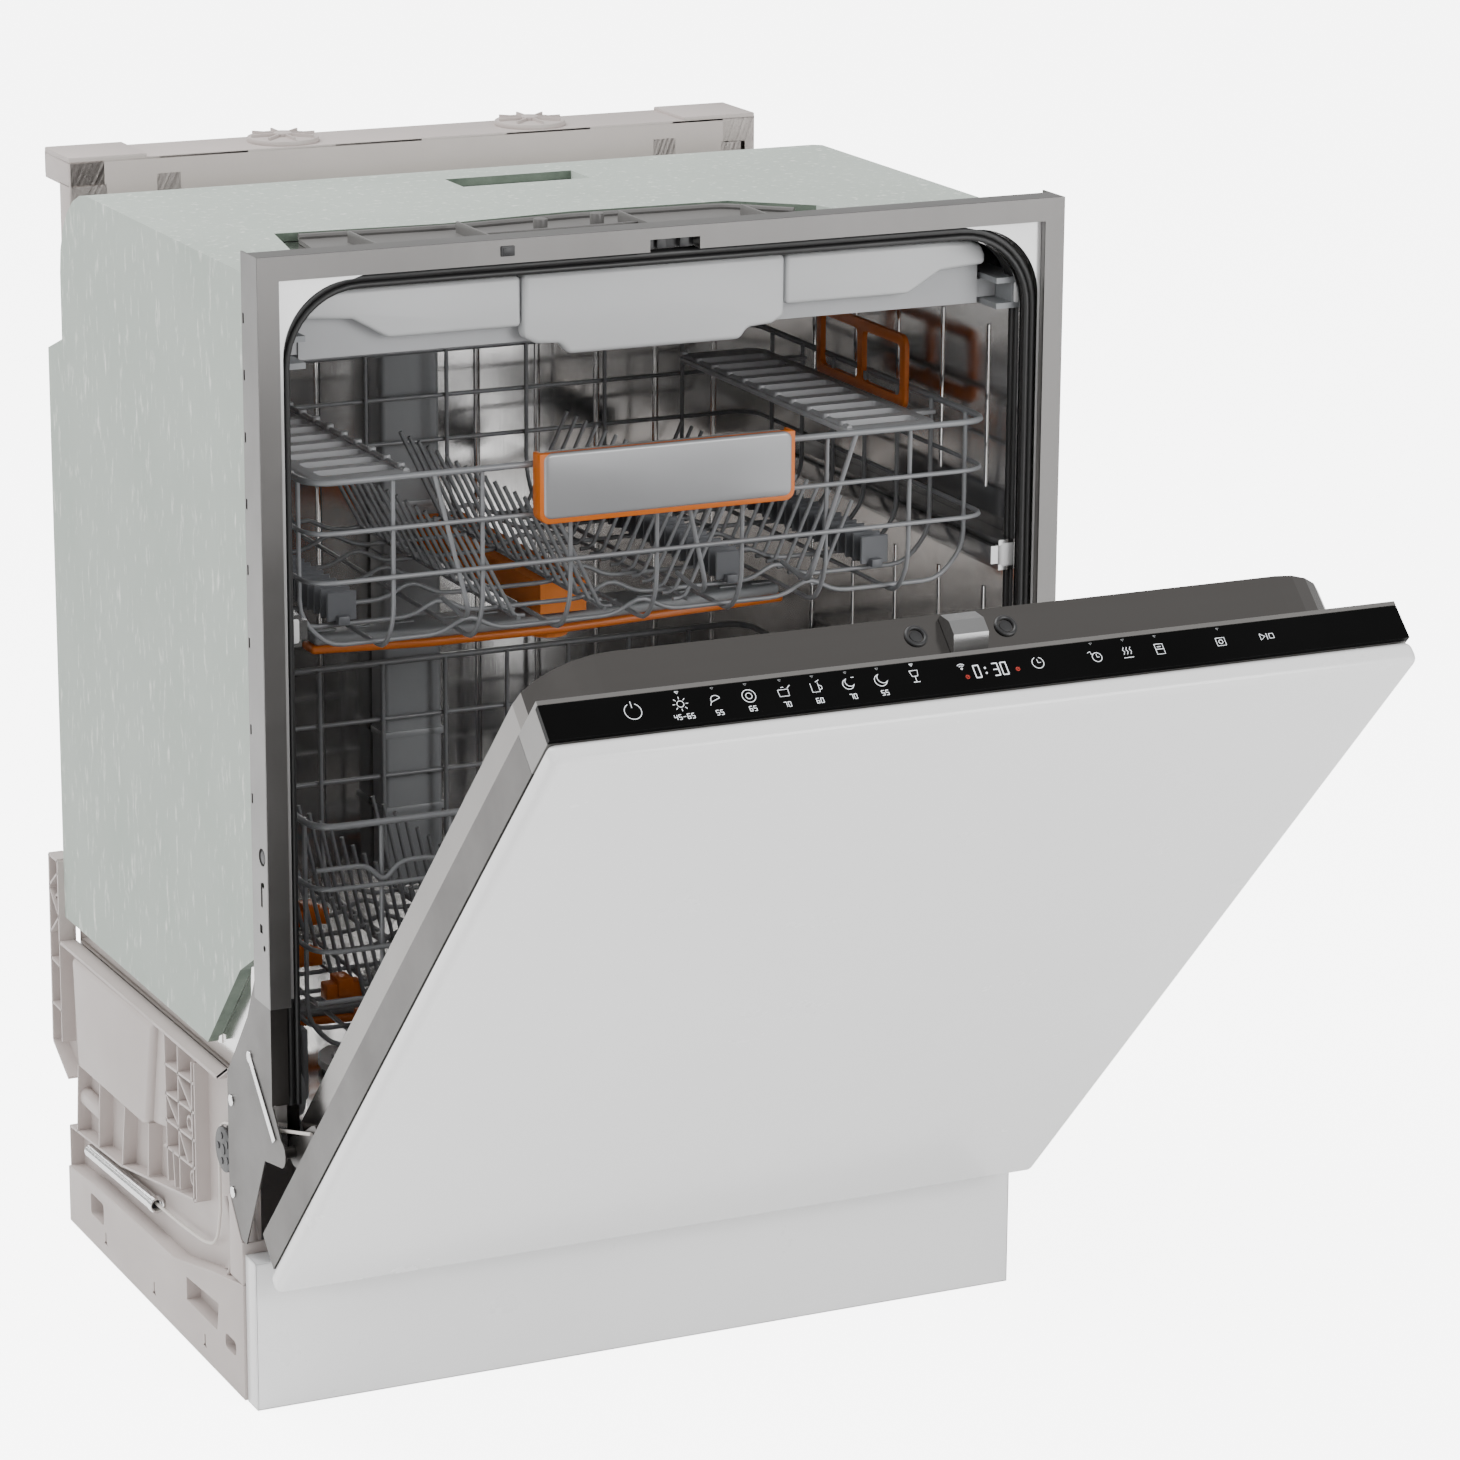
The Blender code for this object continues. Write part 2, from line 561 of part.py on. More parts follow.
def build_rails(cabinet):
    outer = TUB_HALF - WALL - GAP

    def rail_shape(side):
        y0, y1 = RAIL_FRONT, RAIL_FRONT + RAIL_LENGTH
        bar = box(*span(side, RAIL_INNER, outer), y0, y1, RAIL_Z - RAIL_HALF_Z, RAIL_Z + RAIL_HALF_Z)
        slot = box(*span(side, RAIL_INNER - 0.01, SLIDER_OUTER + RUN), y0 - 0.01, y1 + 0.01,
                   RAIL_Z - RAIL_HALF_Z + 0.004, RAIL_Z + RAIL_HALF_Z - 0.004)
        return bar, [], [slot]

    def track_shape(side):
        y0, y1 = RAIL_FRONT, TRAY_BACK
        bar = box(*span(side, TRACK_INNER, outer), y0, y1, TRAY_FLOOR - 0.001, TRAY_FLOOR + 0.021)
        slot = box(*span(side, TRACK_INNER - 0.01, TRAY_RUNNER + RUN), y0 - 0.01, y1 + 0.01,
                   TRAY_FLOOR + 0.003, TRAY_FLOOR + 0.017)
        return bar, [], [slot]

    both("upper_rail", rail_shape, "steel", cabinet)
    both("tray_track", track_shape, "grey", cabinet)


def build_hinge_sides(cabinet):
    """Bracket with the hinge pin, balance spring with its cord, and the cord's pulley."""
    inner, outer = PANEL_HALF + RUN, PANEL_HALF + RUN + 0.001
    door_turn = Matrix.Rotation(math.radians(DOOR_ANGLE), 2)
    cord_end = door_turn @ Vector(CORD_END) + Vector((PIVOT_Y, PIVOT_Z))

    def bracket_shape(side):
        nose = arc(PIVOT_Y, PIVOT_Z, 0.010, 250, 100, 6)
        outline = nose + [(0.004, 0.240), (0.004, FRAME_FOOT_Z + 0.02), (0.030, FRAME_FOOT_Z + 0.02)]
        outline += [(0.050, 0.290), (BASE_FRONT - GAP, 0.236), (BASE_FRONT - GAP, 0.120)]
        outline += [(0.060, 0.120), (0.020, 0.195)]
        plate = prism("X", outline, *span(side, inner, outer))
        leaf = box(*span(side, WEB_INNER + 0.0023, inner + 0.0005), 0.0040, 0.0055, 0.240, FRAME_FOOT_Z - GAP)
        pin = rod("X", PIVOT_Y, PIVOT_Z, PIN_RADIUS, *span(side, ARM_INNER - 0.001, inner + 0.0005), 16)
        return plate, [leaf, pin], []

    def pulley_shape(side):
        low, high = span(side, WEB_INNER + WEB + GAP, HALF_WIDTH - 0.0040)
        return rod("X", PULLEY_Y, PULLEY_Z, PULLEY_RADIUS, low, high, 24), [], []

    def spring_shape(side):
        x = side * (HALF_WIDTH - 0.0065)
        slope = math.radians(-2.9)
        coil = rod("Y", 0, 0, 0.0056, 0, SPRING_LENGTH, 10)
        bmesh.ops.rotate(coil, matrix=Matrix.Rotation(slope, 3, "X"), verts=coil.verts)
        start = SPRING_BACK - 2 * GAP - SPRING_LENGTH * math.cos(slope)
        bmesh.ops.translate(coil, vec=(x, start, 0.0685), verts=coil.verts)
        lap = PULLEY_RADIUS + 0.0026
        route = [(start + 0.010, 0.0683), (0.215, 0.0760), (0.165, 0.0830), (0.146, 0.0880)]
        route += [(0.136, 0.0980), (PULLEY_Y + lap, 0.115)]
        route += arc(PULLEY_Y, PULLEY_Z, lap, 0, 72, 5)
        route += [tuple(cord_end)]
        cord = wire([(x - side * 0.0010, y, z) for y, z in route], radius=0.0013, sides=6)
        return coil, [cord], []

    both("hinge_bracket", bracket_shape, "steel", cabinet)
    both("cord_pulley", pulley_shape, "dark", cabinet, smooth=True)
    both("door_spring", spring_shape, "steel", cabinet)


# ------------------------------------------------------------------ door
def build_door(door):
    panel = box(-PANEL_HALF, PANEL_HALF, PANEL_FRONT, PANEL_BACK, PANEL_BOTTOM, PANEL_TOP)
    board = node("furniture_panel", panel, "white", door)
    edge = board.modifiers.new("edge", "BEVEL")
    edge.width = 0.0035
    edge.segments = 1
    edge.limit_method = "ANGLE"

    front = PANEL_BACK + GAP
    half = SHELL_HALF
    sheet = box(-half, half, front, SHELL_BACK, SHELL_BOTTOM, HOUSING_BOTTOM - GAP)
    hollow = box(SHEET - half, half - SHEET, front + SHEET, 0, SHELL_BOTTOM - 0.1, PANEL_TOP + 0.1)
    node("outer_sheet", sheet, "steel", door, cut=[hollow])

    glass_back = SHELL_BACK - STRIP_LIP
    housing = box(-half, half, front, SHELL_BACK, HOUSING_BOTTOM, STRIP_TOP)
    pocket = box(-1, 1, -1, glass_back, STRIP_TOP - STRIP_THICK - GAP, 1)
    inside = box(0.003 - half, half - 0.003, front + 0.003, SHELL_BACK - 0.003, HOUSING_BOTTOM - 0.072,
                 STRIP_TOP - STRIP_THICK - 0.004)
    node("control_housing", housing, "fascia", door, cut=[pocket, inside])
    glass = box(-half, half, front, glass_back - GAP, STRIP_TOP - STRIP_THICK, STRIP_TOP)
    node("control_strip", glass, "glass", door)

    back = SHELL_BACK + GAP
    outline = mouth_outline(PLUG_HALF, PLUG_BOTTOM, PLUG_TOP, MOUTH_RADIUS)
    inner = mouth_outline(PLUG_HALF - SHEET, PLUG_BOTTOM - 0.1, PLUG_TOP - SHEET,
                          MOUTH_RADIUS - SHEET)
    well = mouth_outline(PLUG_HALF - PLUG_RIM, PLUG_BOTTOM - 0.1, PLUG_TOP - PLUG_RIM,
                         MOUTH_RADIUS - PLUG_RIM)
    dish = mouth_outline(PLUG_HALF - PLUG_RIM + SHEET, PLUG_BOTTOM, PLUG_TOP - PLUG_RIM + SHEET,
                         MOUTH_RADIUS - PLUG_RIM + SHEET)
    body = prism("Y", outline, back, PLUG_FACE)
    hollow = prism("Y", inner, back - 0.01, PLUG_FACE - SHEET)
    liner = node("door_liner", body, "mirror", door, cut=[hollow])
    pan = prism("Y", dish, PLUG_FLOOR - SHEET, PLUG_FACE - 0.0005)
    refine(liner, door, (pan, "UNION"), (prism("Y", well, PLUG_FLOOR, 1), "DIFFERENCE"))

    low = PLUG_TOP + GAP
    wedge = [(-0.014, low), (0.015, low), (0.015, low + 0.004), (0.006, low + 0.011)]
    wedge += [(-0.004, low + 0.011)]
    node("door_striker", prism("X", wedge, -0.012, 0.012), "grey", door)

    face = PLUG_FLOOR + GAP
    body = box(-0.125, 0.105, face, 0.002, 0.290, 0.410)
    cup = box(-0.108, -0.012, face + 0.002, 0.01, 0.304, 0.396)
    node("dispenser_body", body, "grey", door, cut=[cup])
    lid = box(-0.111, -0.009, 0.002 + GAP, 0.0060, 0.301, 0.399)
    node("dispenser_lid", lid, "grey", door, origin=(0, 0.004, 0.301))
    cap = rod("Y", 0.055, 0.350, 0.020, 0.002 + GAP, 0.009, 20)
    node("rinse_cap", cap, "grey", door, origin=(0.055, 0, 0.350), smooth=True)

    def arm(side):
        outer = ARM_INNER + ARM_THICK
        eye = arc(0, 0, 0.011, -150, 60, 7)
        ear = [(CORD_END[0] + 0.006, CORD_END[1]), (CORD_END[0] + 0.003, CORD_END[1] + 0.006)]
        outline = eye + ear + [(-0.0195, CORD_END[1] + 0.006), (-0.0195, 0.200)]
        outline += [(-0.0445, 0.200), (-0.0445, 0.030)]
        plate = prism("X", outline, *span(side, ARM_INNER, outer))
        lug = box(*span(side, outer - 0.0005, SHELL_HALF - SHEET - GAP), -0.042, -0.022, 0.06, 0.19)
        hole = rod("X", 0, 0, PIN_RADIUS + RUN, *span(side, HALF_WIDTH - 0.1, HALF_WIDTH), 16)
        return plate, [lug], [hole]

    both("hinge_arm", arm, "steel", door)


# ------------------------------------------------------------------ upper rack
def basket(half, front, back, floor, top, cross, along, rims):
    """Wires of a rack: loops along both ways, joined by level rims."""
    across = []
    for y in cross:
        path = [(-half, y, top), (-half, y, floor), (half, y, floor), (half, y, top)]
        across.append(wire(path))
    length = []
    level = floor + 0.0016
    for x in along:
        path = [(x, front, top), (x, front, level), (x, back, level), (x, back, top)]
        length.append(wire(path))
    loops = []
    for z in rims:
        path = [(-half, front, z), (half, front, z), (half, back, z), (-half, back, z)]
        loops.append(wire(path, radius=WIRE + 0.0002, closed=True))
    return merge(*across), merge(*length), merge(*loops)


def build_upper_rack(rack):
    along = [-0.195 + 0.065 * i for i in range(7)]
    rims = (UPPER_TOP, UPPER_TOP - 0.0695)
    first, second, third = basket(UPPER_HALF, UPPER_FRONT, UPPER_BACK, UPPER_FLOOR, UPPER_TOP,
                                  UPPER_CROSS, along, rims)
    node("upper_rack", first, "wire", rack, add=[second, third])

    front = UPPER_FRONT - WIRE - 0.0002 - GAP
    grip = box(-HANDLE_HALF, HANDLE_HALF, front - 0.014, front, UPPER_TOP - 0.040, UPPER_TOP + 0.009)
    hollow = box(0.006 - HANDLE_HALF, HANDLE_HALF - 0.006, front - 0.009, front + 0.01,
                 UPPER_TOP - 0.045, UPPER_TOP + 0.003)
    node("upper_handle", grip, "silver", rack, cut=[hollow])

    def slider_shape(side):
        low, high = RAIL_Z - RAIL_HALF_Z + 0.004 + RUN, RAIL_Z + RAIL_HALF_Z - 0.004 - RUN
        return box(*span(side, SLIDER_INNER, SLIDER_OUTER), RAIL_FRONT + 0.002,
                   RAIL_FRONT + RAIL_LENGTH - 0.004, low, high), [], []

    both("upper_slider", slider_shape, "steel", rack)

    for side, word in ((-1, "left"), (1, "right")):
        outer = UPPER_HALF - WIRE - 0.0002 - GAP
        loop = box(*span(side, outer - 0.004, outer), 0.145, 0.290, UPPER_TOP - 0.018, UPPER_TOP + 0.038)
        window = box(*span(side, outer - 0.05, outer + 0.05), 0.153, 0.282,
                     UPPER_TOP - 0.008, UPPER_TOP + 0.030)
        node("lift_lever_" + word, loop, "orange", rack,
             origin=(side * (outer - 0.002), 0.2175, UPPER_TOP - 0.016),
             cut=[window])
        hinge = (side * (UPPER_HALF - 0.0045), 0.21, UPPER_TOP - 0.010)
        low, high = UPPER_TOP - 0.012, UPPER_TOP - 0.008
        plate = box(*span(side, UPPER_HALF - 0.0928, UPPER_HALF - 0.0198), 0.062, 0.358, low, high)
        lugs = [box(*span(side, UPPER_HALF - 0.0268, UPPER_HALF - 0.0025), y - 0.005, y + 0.005,
                    low + 0.0005, high - 0.0005)
                for y in (UPPER_CROSS[1], UPPER_CROSS[5])]
        slots = [box(*span(side, UPPER_HALF - 0.0808, UPPER_HALF - 0.0308),
                     0.078 + 0.034 * i, 0.098 + 0.034 * i,
                     low - 0.05, high + 0.05)
                 for i in range(8)]
        node("cup_shelf_" + word, plate, "grey", rack, origin=hinge, add=[merge(*lugs)],
             cut=[merge(*slots)])

    body = arm_shape(0, UPPER_ARM_Y, UPPER_ARM_Z, UPPER_ARM_REACH)
    through = rod("Z", 0, UPPER_ARM_Y, 0.010 + RUN, UPPER_ARM_Z - 0.01, UPPER_ARM_Z + 0.03, 16)
    node("upper_spray_arm", body, "grey", rack, origin=(0, UPPER_ARM_Y, UPPER_ARM_Z), cut=[through])
    low = UPPER_ARM_Z + ARM_HEIGHT + GAP
    roof = UPPER_FLOOR - WIRE - GAP
    pipe = box(-0.018, 0.018, UPPER_ARM_Y - 0.03, TUB_BACK_LOWER - WALL - 2 * GAP - 0.031, low, roof)
    stem = rod("Z", 0, UPPER_ARM_Y, 0.010, UPPER_ARM_Z - 0.004, low + 0.005, 16)
    knob = rod("Z", 0, UPPER_ARM_Y, 0.015, UPPER_ARM_Z - 0.006, UPPER_ARM_Z - GAP, 16)
    node("spray_inlet", pipe, "orange", rack, add=[stem, knob])


# ------------------------------------------------------------------ cutlery tray
def build_tray(tray):
    front = TRAY_FRONT + FASCIA_THICK
    shell = box(-TRAY_HALF, TRAY_HALF, front + GAP, TRAY_BACK, TRAY_FLOOR, TRAY_TOP)
    wall = 0.0025
    hollow = box(wall - TRAY_HALF, TRAY_HALF - wall, front + GAP + wall, TRAY_BACK - wall,
                 TRAY_FLOOR + wall, TRAY_TOP + 0.1)
    flanges = merge(*[box(*span(s, TRAY_HALF - 0.001, TRAY_RUNNER), front + 0.002,
                          TRAY_BACK - 0.004, TRAY_FLOOR + 0.0036, TRAY_FLOOR + 0.0164) for s in (-1, 1)])
    slots = [box(-0.235 + 0.0485 * i, -0.201 + 0.0485 * i, y, y + 0.130, TRAY_FLOOR - 0.05, TRAY_FLOOR + 0.01)
             for i in range(10) for y in (0.065, 0.220)]
    node("cutlery_tray", shell, "grey", tray, add=[flanges], cut=[hollow, merge(*slots)])

    right = [(0.064, FASCIA_LOW), (0.070, FASCIA_BLOCK), (0.092, FASCIA_BLOCK), (0.096, FASCIA_WING)]
    right += [(0.178, FASCIA_WING), (0.203, FASCIA_TIP), (TRAY_HALF, FASCIA_TIP)]
    corner = MOUTH_RADIUS - 0.0035
    right += arc(MOUTH_HALF - MOUTH_RADIUS, MOUTH_TOP - MOUTH_RADIUS, corner, 48, 81.5, 3)
    outline = right + [(-x, z) for x, z in reversed(right)]
    node("tray_fascia", prism("Y", outline, TRAY_FRONT, front), "fascia", tray)


# ------------------------------------------------------------------ lower rack
def build_lower_rack(rack):
    cross = [0.062 + 0.0535 * i for i in range(7)]
    along = [-0.186 + 0.062 * i for i in range(7)]
    first, second, third = basket(LOWER_HALF, LOWER_FRONT, LOWER_BACK, LOWER_FLOOR, LOWER_TOP,
                                  cross, along, (LOWER_TOP, LOWER_TOP - 0.090, LOWER_FLOOR + 0.016))
    axle_z = TUB_BOTTOM + WALL + GAP + WHEEL_RADIUS
    posts = []
    axles = []
    for side in (-1, 1):
        for y in WHEEL_YS:
            posts.append(box(*span(side, LOWER_HALF - 0.003, LOWER_HALF + 0.0015), y - 0.006,
                             y + 0.006, axle_z - 0.006, 0.264))
            axles.append(rod("X", y, axle_z, 0.0035, *span(side, LOWER_HALF, LOWER_HALF + 0.0105), 10))
    node("lower_rack", first, "wire", rack, add=[second, third, merge(*posts), merge(*axles)])
    for side, word in ((-1, "left"), (1, "right")):
        for y, end in zip(WHEEL_YS, ("front", "rear")):
            low, high = span(side, LOWER_HALF + 0.0022, LOWER_HALF + 0.0022 + WHEEL_THICK)
            disc = rod("X", y, axle_z, WHEEL_RADIUS, low, high, 20)
            bore = rod("X", y, axle_z, 0.0035 + RUN, low - 0.01, high + 0.01, 10)
            node(f"rack_wheel_{end}_{word}", disc, "dark", rack, origin=(0, y, axle_z), cut=[bore],
                 smooth=True)
    front = LOWER_FRONT - WIRE - 0.0002 - GAP
    grip = box(-0.070, 0.070, front - 0.010, front, LOWER_TOP - 0.030, LOWER_TOP + 0.005)
    node("lower_handle", grip, "silver", rack)


def main():
    for thing in list(bpy.data.objects):
        bpy.data.objects.remove(thing, do_unlink=True)
    cabinet = empty("cabinet", None, (0, FRONT_Y, 0))
    build_tub(cabinet)
    build_frame(cabinet)
    build_gasket(cabinet)
    build_felt(cabinet)
    build_brace(cabinet)
    build_top_module(cabinet)
    build_base(cabinet)
    build_feet(cabinet)
    build_water_parts(cabinet)
    build_lower_arm(cabinet)
    build_rails(cabinet)
    build_hinge_sides(cabinet)
    build_door(empty("door", cabinet, (0, PIVOT_Y, PIVOT_Z), DOOR_ANGLE))
    build_upper_rack(empty("upper_basket", cabinet, (0, 0, 0)))
    build_tray(empty("tray", cabinet, (0, 0, 0)))
    build_lower_rack(empty("lower_basket", cabinet, (0, 0, 0)))


main()
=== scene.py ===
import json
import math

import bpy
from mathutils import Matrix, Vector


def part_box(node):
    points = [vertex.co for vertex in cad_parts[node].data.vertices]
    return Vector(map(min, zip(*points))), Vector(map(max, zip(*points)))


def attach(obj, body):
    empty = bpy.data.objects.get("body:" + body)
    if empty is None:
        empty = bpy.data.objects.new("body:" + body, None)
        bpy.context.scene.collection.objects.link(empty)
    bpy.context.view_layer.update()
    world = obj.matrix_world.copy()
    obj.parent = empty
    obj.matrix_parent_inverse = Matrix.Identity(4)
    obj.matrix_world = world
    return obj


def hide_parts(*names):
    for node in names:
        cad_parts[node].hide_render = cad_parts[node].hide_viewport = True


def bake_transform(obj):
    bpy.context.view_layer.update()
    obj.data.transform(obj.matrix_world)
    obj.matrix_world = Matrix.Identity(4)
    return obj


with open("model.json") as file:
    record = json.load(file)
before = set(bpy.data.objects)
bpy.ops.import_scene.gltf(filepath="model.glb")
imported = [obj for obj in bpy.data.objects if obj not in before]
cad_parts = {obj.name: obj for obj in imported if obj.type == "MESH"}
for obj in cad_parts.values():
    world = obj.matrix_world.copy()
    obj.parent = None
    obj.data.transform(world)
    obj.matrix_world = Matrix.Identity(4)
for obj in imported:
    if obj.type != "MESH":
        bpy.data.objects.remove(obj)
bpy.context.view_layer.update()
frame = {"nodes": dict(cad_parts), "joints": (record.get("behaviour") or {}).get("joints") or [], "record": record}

# %% [markdown]
# # A built-in dishwasher with its door part open
#
# This lesson dresses a plain CAD dishwasher.  The CAD frame gives every size and
# every moving part; here each visible piece gets its real shape and its finish.
# Work goes from the outside in: measures, camera and light first, then finishes,
# the cabinet, the door, and last the baskets with their many thin wires.

front_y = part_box("front_frame")[0].y
swing = next(joint for joint in frame["joints"] if joint["name"] == "door_swing")
tilt = math.radians(-swing["range_deg"][0])
CABINET = Matrix.Translation((0, front_y, 0))
DOOR = Matrix.Translation(swing["pos_m"]) @ Matrix.Rotation(tilt, 4, "X")
print(f"front face at y = {front_y:.3f} m, door {math.degrees(tilt):.1f} degrees open")

# %% [markdown]
# ## Camera
#
# The dishwasher is seen from the left and a little above, with a long lens, so
# upright edges stay nearly parallel.  A camera looks down its own -Z, so its
# matrix is made from three directions: right, up and back.

# %% Camera
yaw, pitch, roll = 0.4440, 0.2727, 0.0067
ahead = Vector((math.sin(yaw) * math.cos(pitch), math.cos(yaw) * math.cos(pitch), -math.sin(pitch)))
right = Vector((math.cos(yaw), -math.sin(yaw), 0))
up = right.cross(ahead)
level_right = right * math.cos(roll) + up * math.sin(roll)
level_up = up * math.cos(roll) - right * math.sin(roll)
bpy.ops.object.camera_add(location=(-1.4445, -3.3775, 1.4364))
camera = bpy.context.object
turned = Matrix((level_right, level_up, -ahead)).transposed()
camera.rotation_euler = turned.to_euler()
camera.data.sensor_width = 36
camera.data.lens = 5178.7 / 1460 * 36
camera.data.clip_end = 50
bpy.context.scene.camera = camera
print(f"lens {camera.data.lens:.1f} mm")

# %% [markdown]
# ## Floor and studio light
#
# The dishwasher stands on a white sweep among large soft boxes.  The sweep is one
# plane, and big area lights overhead, to the left and in front give the long, soft
# reflections that steel needs.  A pale world fills the rest.  The sweep glows only
# for the camera and in reflections, so that it stays white without lighting the
# underside of the machine.

# %% Selecting pieces
def only(*pieces):
    """Deselects everything, then selects these; the last one becomes active."""
    if bpy.context.object and bpy.context.object.mode != "OBJECT":
        bpy.ops.object.mode_set(mode="OBJECT")
    bpy.ops.object.select_all(action="DESELECT")
    for piece in pieces:
        piece.select_set(True)
        bpy.context.view_layer.objects.active = piece


print("selecting helper ready")

# %% Floor
GLOW_SEEN, GLOW_MIRRORED = 6.0, 1.1
only()
bpy.ops.mesh.primitive_plane_add(size=30, location=(0, 0, -0.0005))
floor = bpy.context.object
floor.name = "studio_floor"
sweep = bpy.data.materials.new("studio_floor")
sweep.use_nodes = True
floor.data.materials.append(sweep)
nodes, links = sweep.node_tree.nodes, sweep.node_tree.links
shine = nodes["Principled BSDF"]
shine.inputs["Base Color"].default_value = (0.93, 0.93, 0.93, 1)
shine.inputs["Roughness"].default_value = 0.9
shine.inputs["Emission Color"].default_value = (1.0, 1.0, 1.0, 1)
seen = nodes.new("ShaderNodeLightPath")
mirrored = nodes.new("ShaderNodeMath")
mirrored.operation = "MULTIPLY"
mirrored.inputs[1].default_value = GLOW_MIRRORED
gain = nodes.new("ShaderNodeMath")
gain.operation = "MULTIPLY_ADD"
gain.inputs[1].default_value = GLOW_SEEN
links.new(seen.outputs["Is Glossy Ray"], mirrored.inputs[0])
links.new(seen.outputs["Is Camera Ray"], gain.inputs[0])
links.new(mirrored.outputs["Value"], gain.inputs[2])
links.new(gain.outputs["Value"], shine.inputs["Emission Strength"])
print("floor", floor.dimensions.x, "m wide")

# %% World and soft boxes
world = bpy.data.worlds.new("studio")
world.use_nodes = True
world.node_tree.nodes["Background"].inputs["Color"].default_value = (1.0, 1.0, 1.0, 1)
world.node_tree.nodes["Background"].inputs["Strength"].default_value = 0.62
bpy.context.scene.world = world


def soft_box(name, place, target, size, power):
    """A large area light aimed at a point."""
    only()
    bpy.ops.object.light_add(type="AREA", location=place)
    lamp = bpy.context.object
    lamp.name = name
    lamp.data.shape = "SQUARE"
    lamp.data.size = size
    lamp.data.energy = power
    lamp.rotation_euler = (Vector(target) - Vector(place)).to_track_quat("-Z", "Y").to_euler()


soft_box("top_box", (-1.1, 0.9, 3.2), (0, 0, 0.4), 2.4, 115)
soft_box("left_box", (-3.2, -1.6, 1.9), (0, 0, 0.5), 1.6, 34)
soft_box("front_box", (1.6, -3.6, 1.6), (0, 0, 0.5), 1.8, 95)
print("studio ready")

# %% [markdown]
# ## Shared surface effects
#
# No real surface is one flat value.  Two node groups make the difference and are
# reused by every finish.  *Grain* gives a fine height and a tone that wanders over
# the part.  *Handling* gives broad, soft patches for the roughness, as dust and
# fingers leave them.

# %% Node groups
def new_group(name, inputs, outputs):
    """An empty shader group with float sockets."""
    group = bpy.data.node_groups.new(name, "ShaderNodeTree")
    for label, value in inputs.items():
        kind = "NodeSocketVector" if label == "Vector" else "NodeSocketFloat"
        socket = group.interface.new_socket(name=label, in_out="INPUT", socket_type=kind)
        if value is not None:
            socket.default_value = value
    for label in outputs:
        group.interface.new_socket(name=label, in_out="OUTPUT", socket_type="NodeSocketFloat")
    return group, group.nodes.new("NodeGroupInput"), group.nodes.new("NodeGroupOutput")


def noise(tree, scale, detail=3.0, roughness=0.5):
    """A noise texture node."""
    node = tree.nodes.new("ShaderNodeTexNoise")
    node.inputs["Scale"].default_value = scale
    node.inputs["Detail"].default_value = detail
    node.inputs["Roughness"].default_value = roughness
    return node


grain_group, inlet, outlet = new_group("Grain", {"Vector": None, "Scale": 800.0}, ("Height", "Tone"))
fine = noise(grain_group, 800, 2)
broad = noise(grain_group, 9, 4, 0.6)
grain_group.links.new(inlet.outputs["Vector"], fine.inputs["Vector"])
grain_group.links.new(inlet.outputs["Scale"], fine.inputs["Scale"])
grain_group.links.new(inlet.outputs["Vector"], broad.inputs["Vector"])
grain_group.links.new(fine.outputs["Fac"], outlet.inputs["Height"])
grain_group.links.new(broad.outputs["Fac"], outlet.inputs["Tone"])

handling_group, inlet, outlet = new_group(
    "Handling", {"Vector": None, "Low": 0.3, "High": 0.5}, ("Roughness",))
patches = noise(handling_group, 14, 5, 0.62)
spread = handling_group.nodes.new("ShaderNodeMapRange")
spread.inputs["From Min"].default_value = 0.3
spread.inputs["From Max"].default_value = 0.7
handling_group.links.new(inlet.outputs["Vector"], patches.inputs["Vector"])
handling_group.links.new(patches.outputs["Fac"], spread.inputs["Value"])
handling_group.links.new(inlet.outputs["Low"], spread.inputs["To Min"])
handling_group.links.new(inlet.outputs["High"], spread.inputs["To Max"])
handling_group.links.new(spread.outputs["Result"], outlet.inputs["Roughness"])
print("groups:", grain_group.name, handling_group.name)

# %% [markdown]
# ## Finishes
#
# Each finish states two close colours, a roughness range, a grain size and how
# deep that grain is.  Stretching the grain along one axis turns it into the fine
# lines of rolled or drawn steel.  Constant values are set on the shader itself.

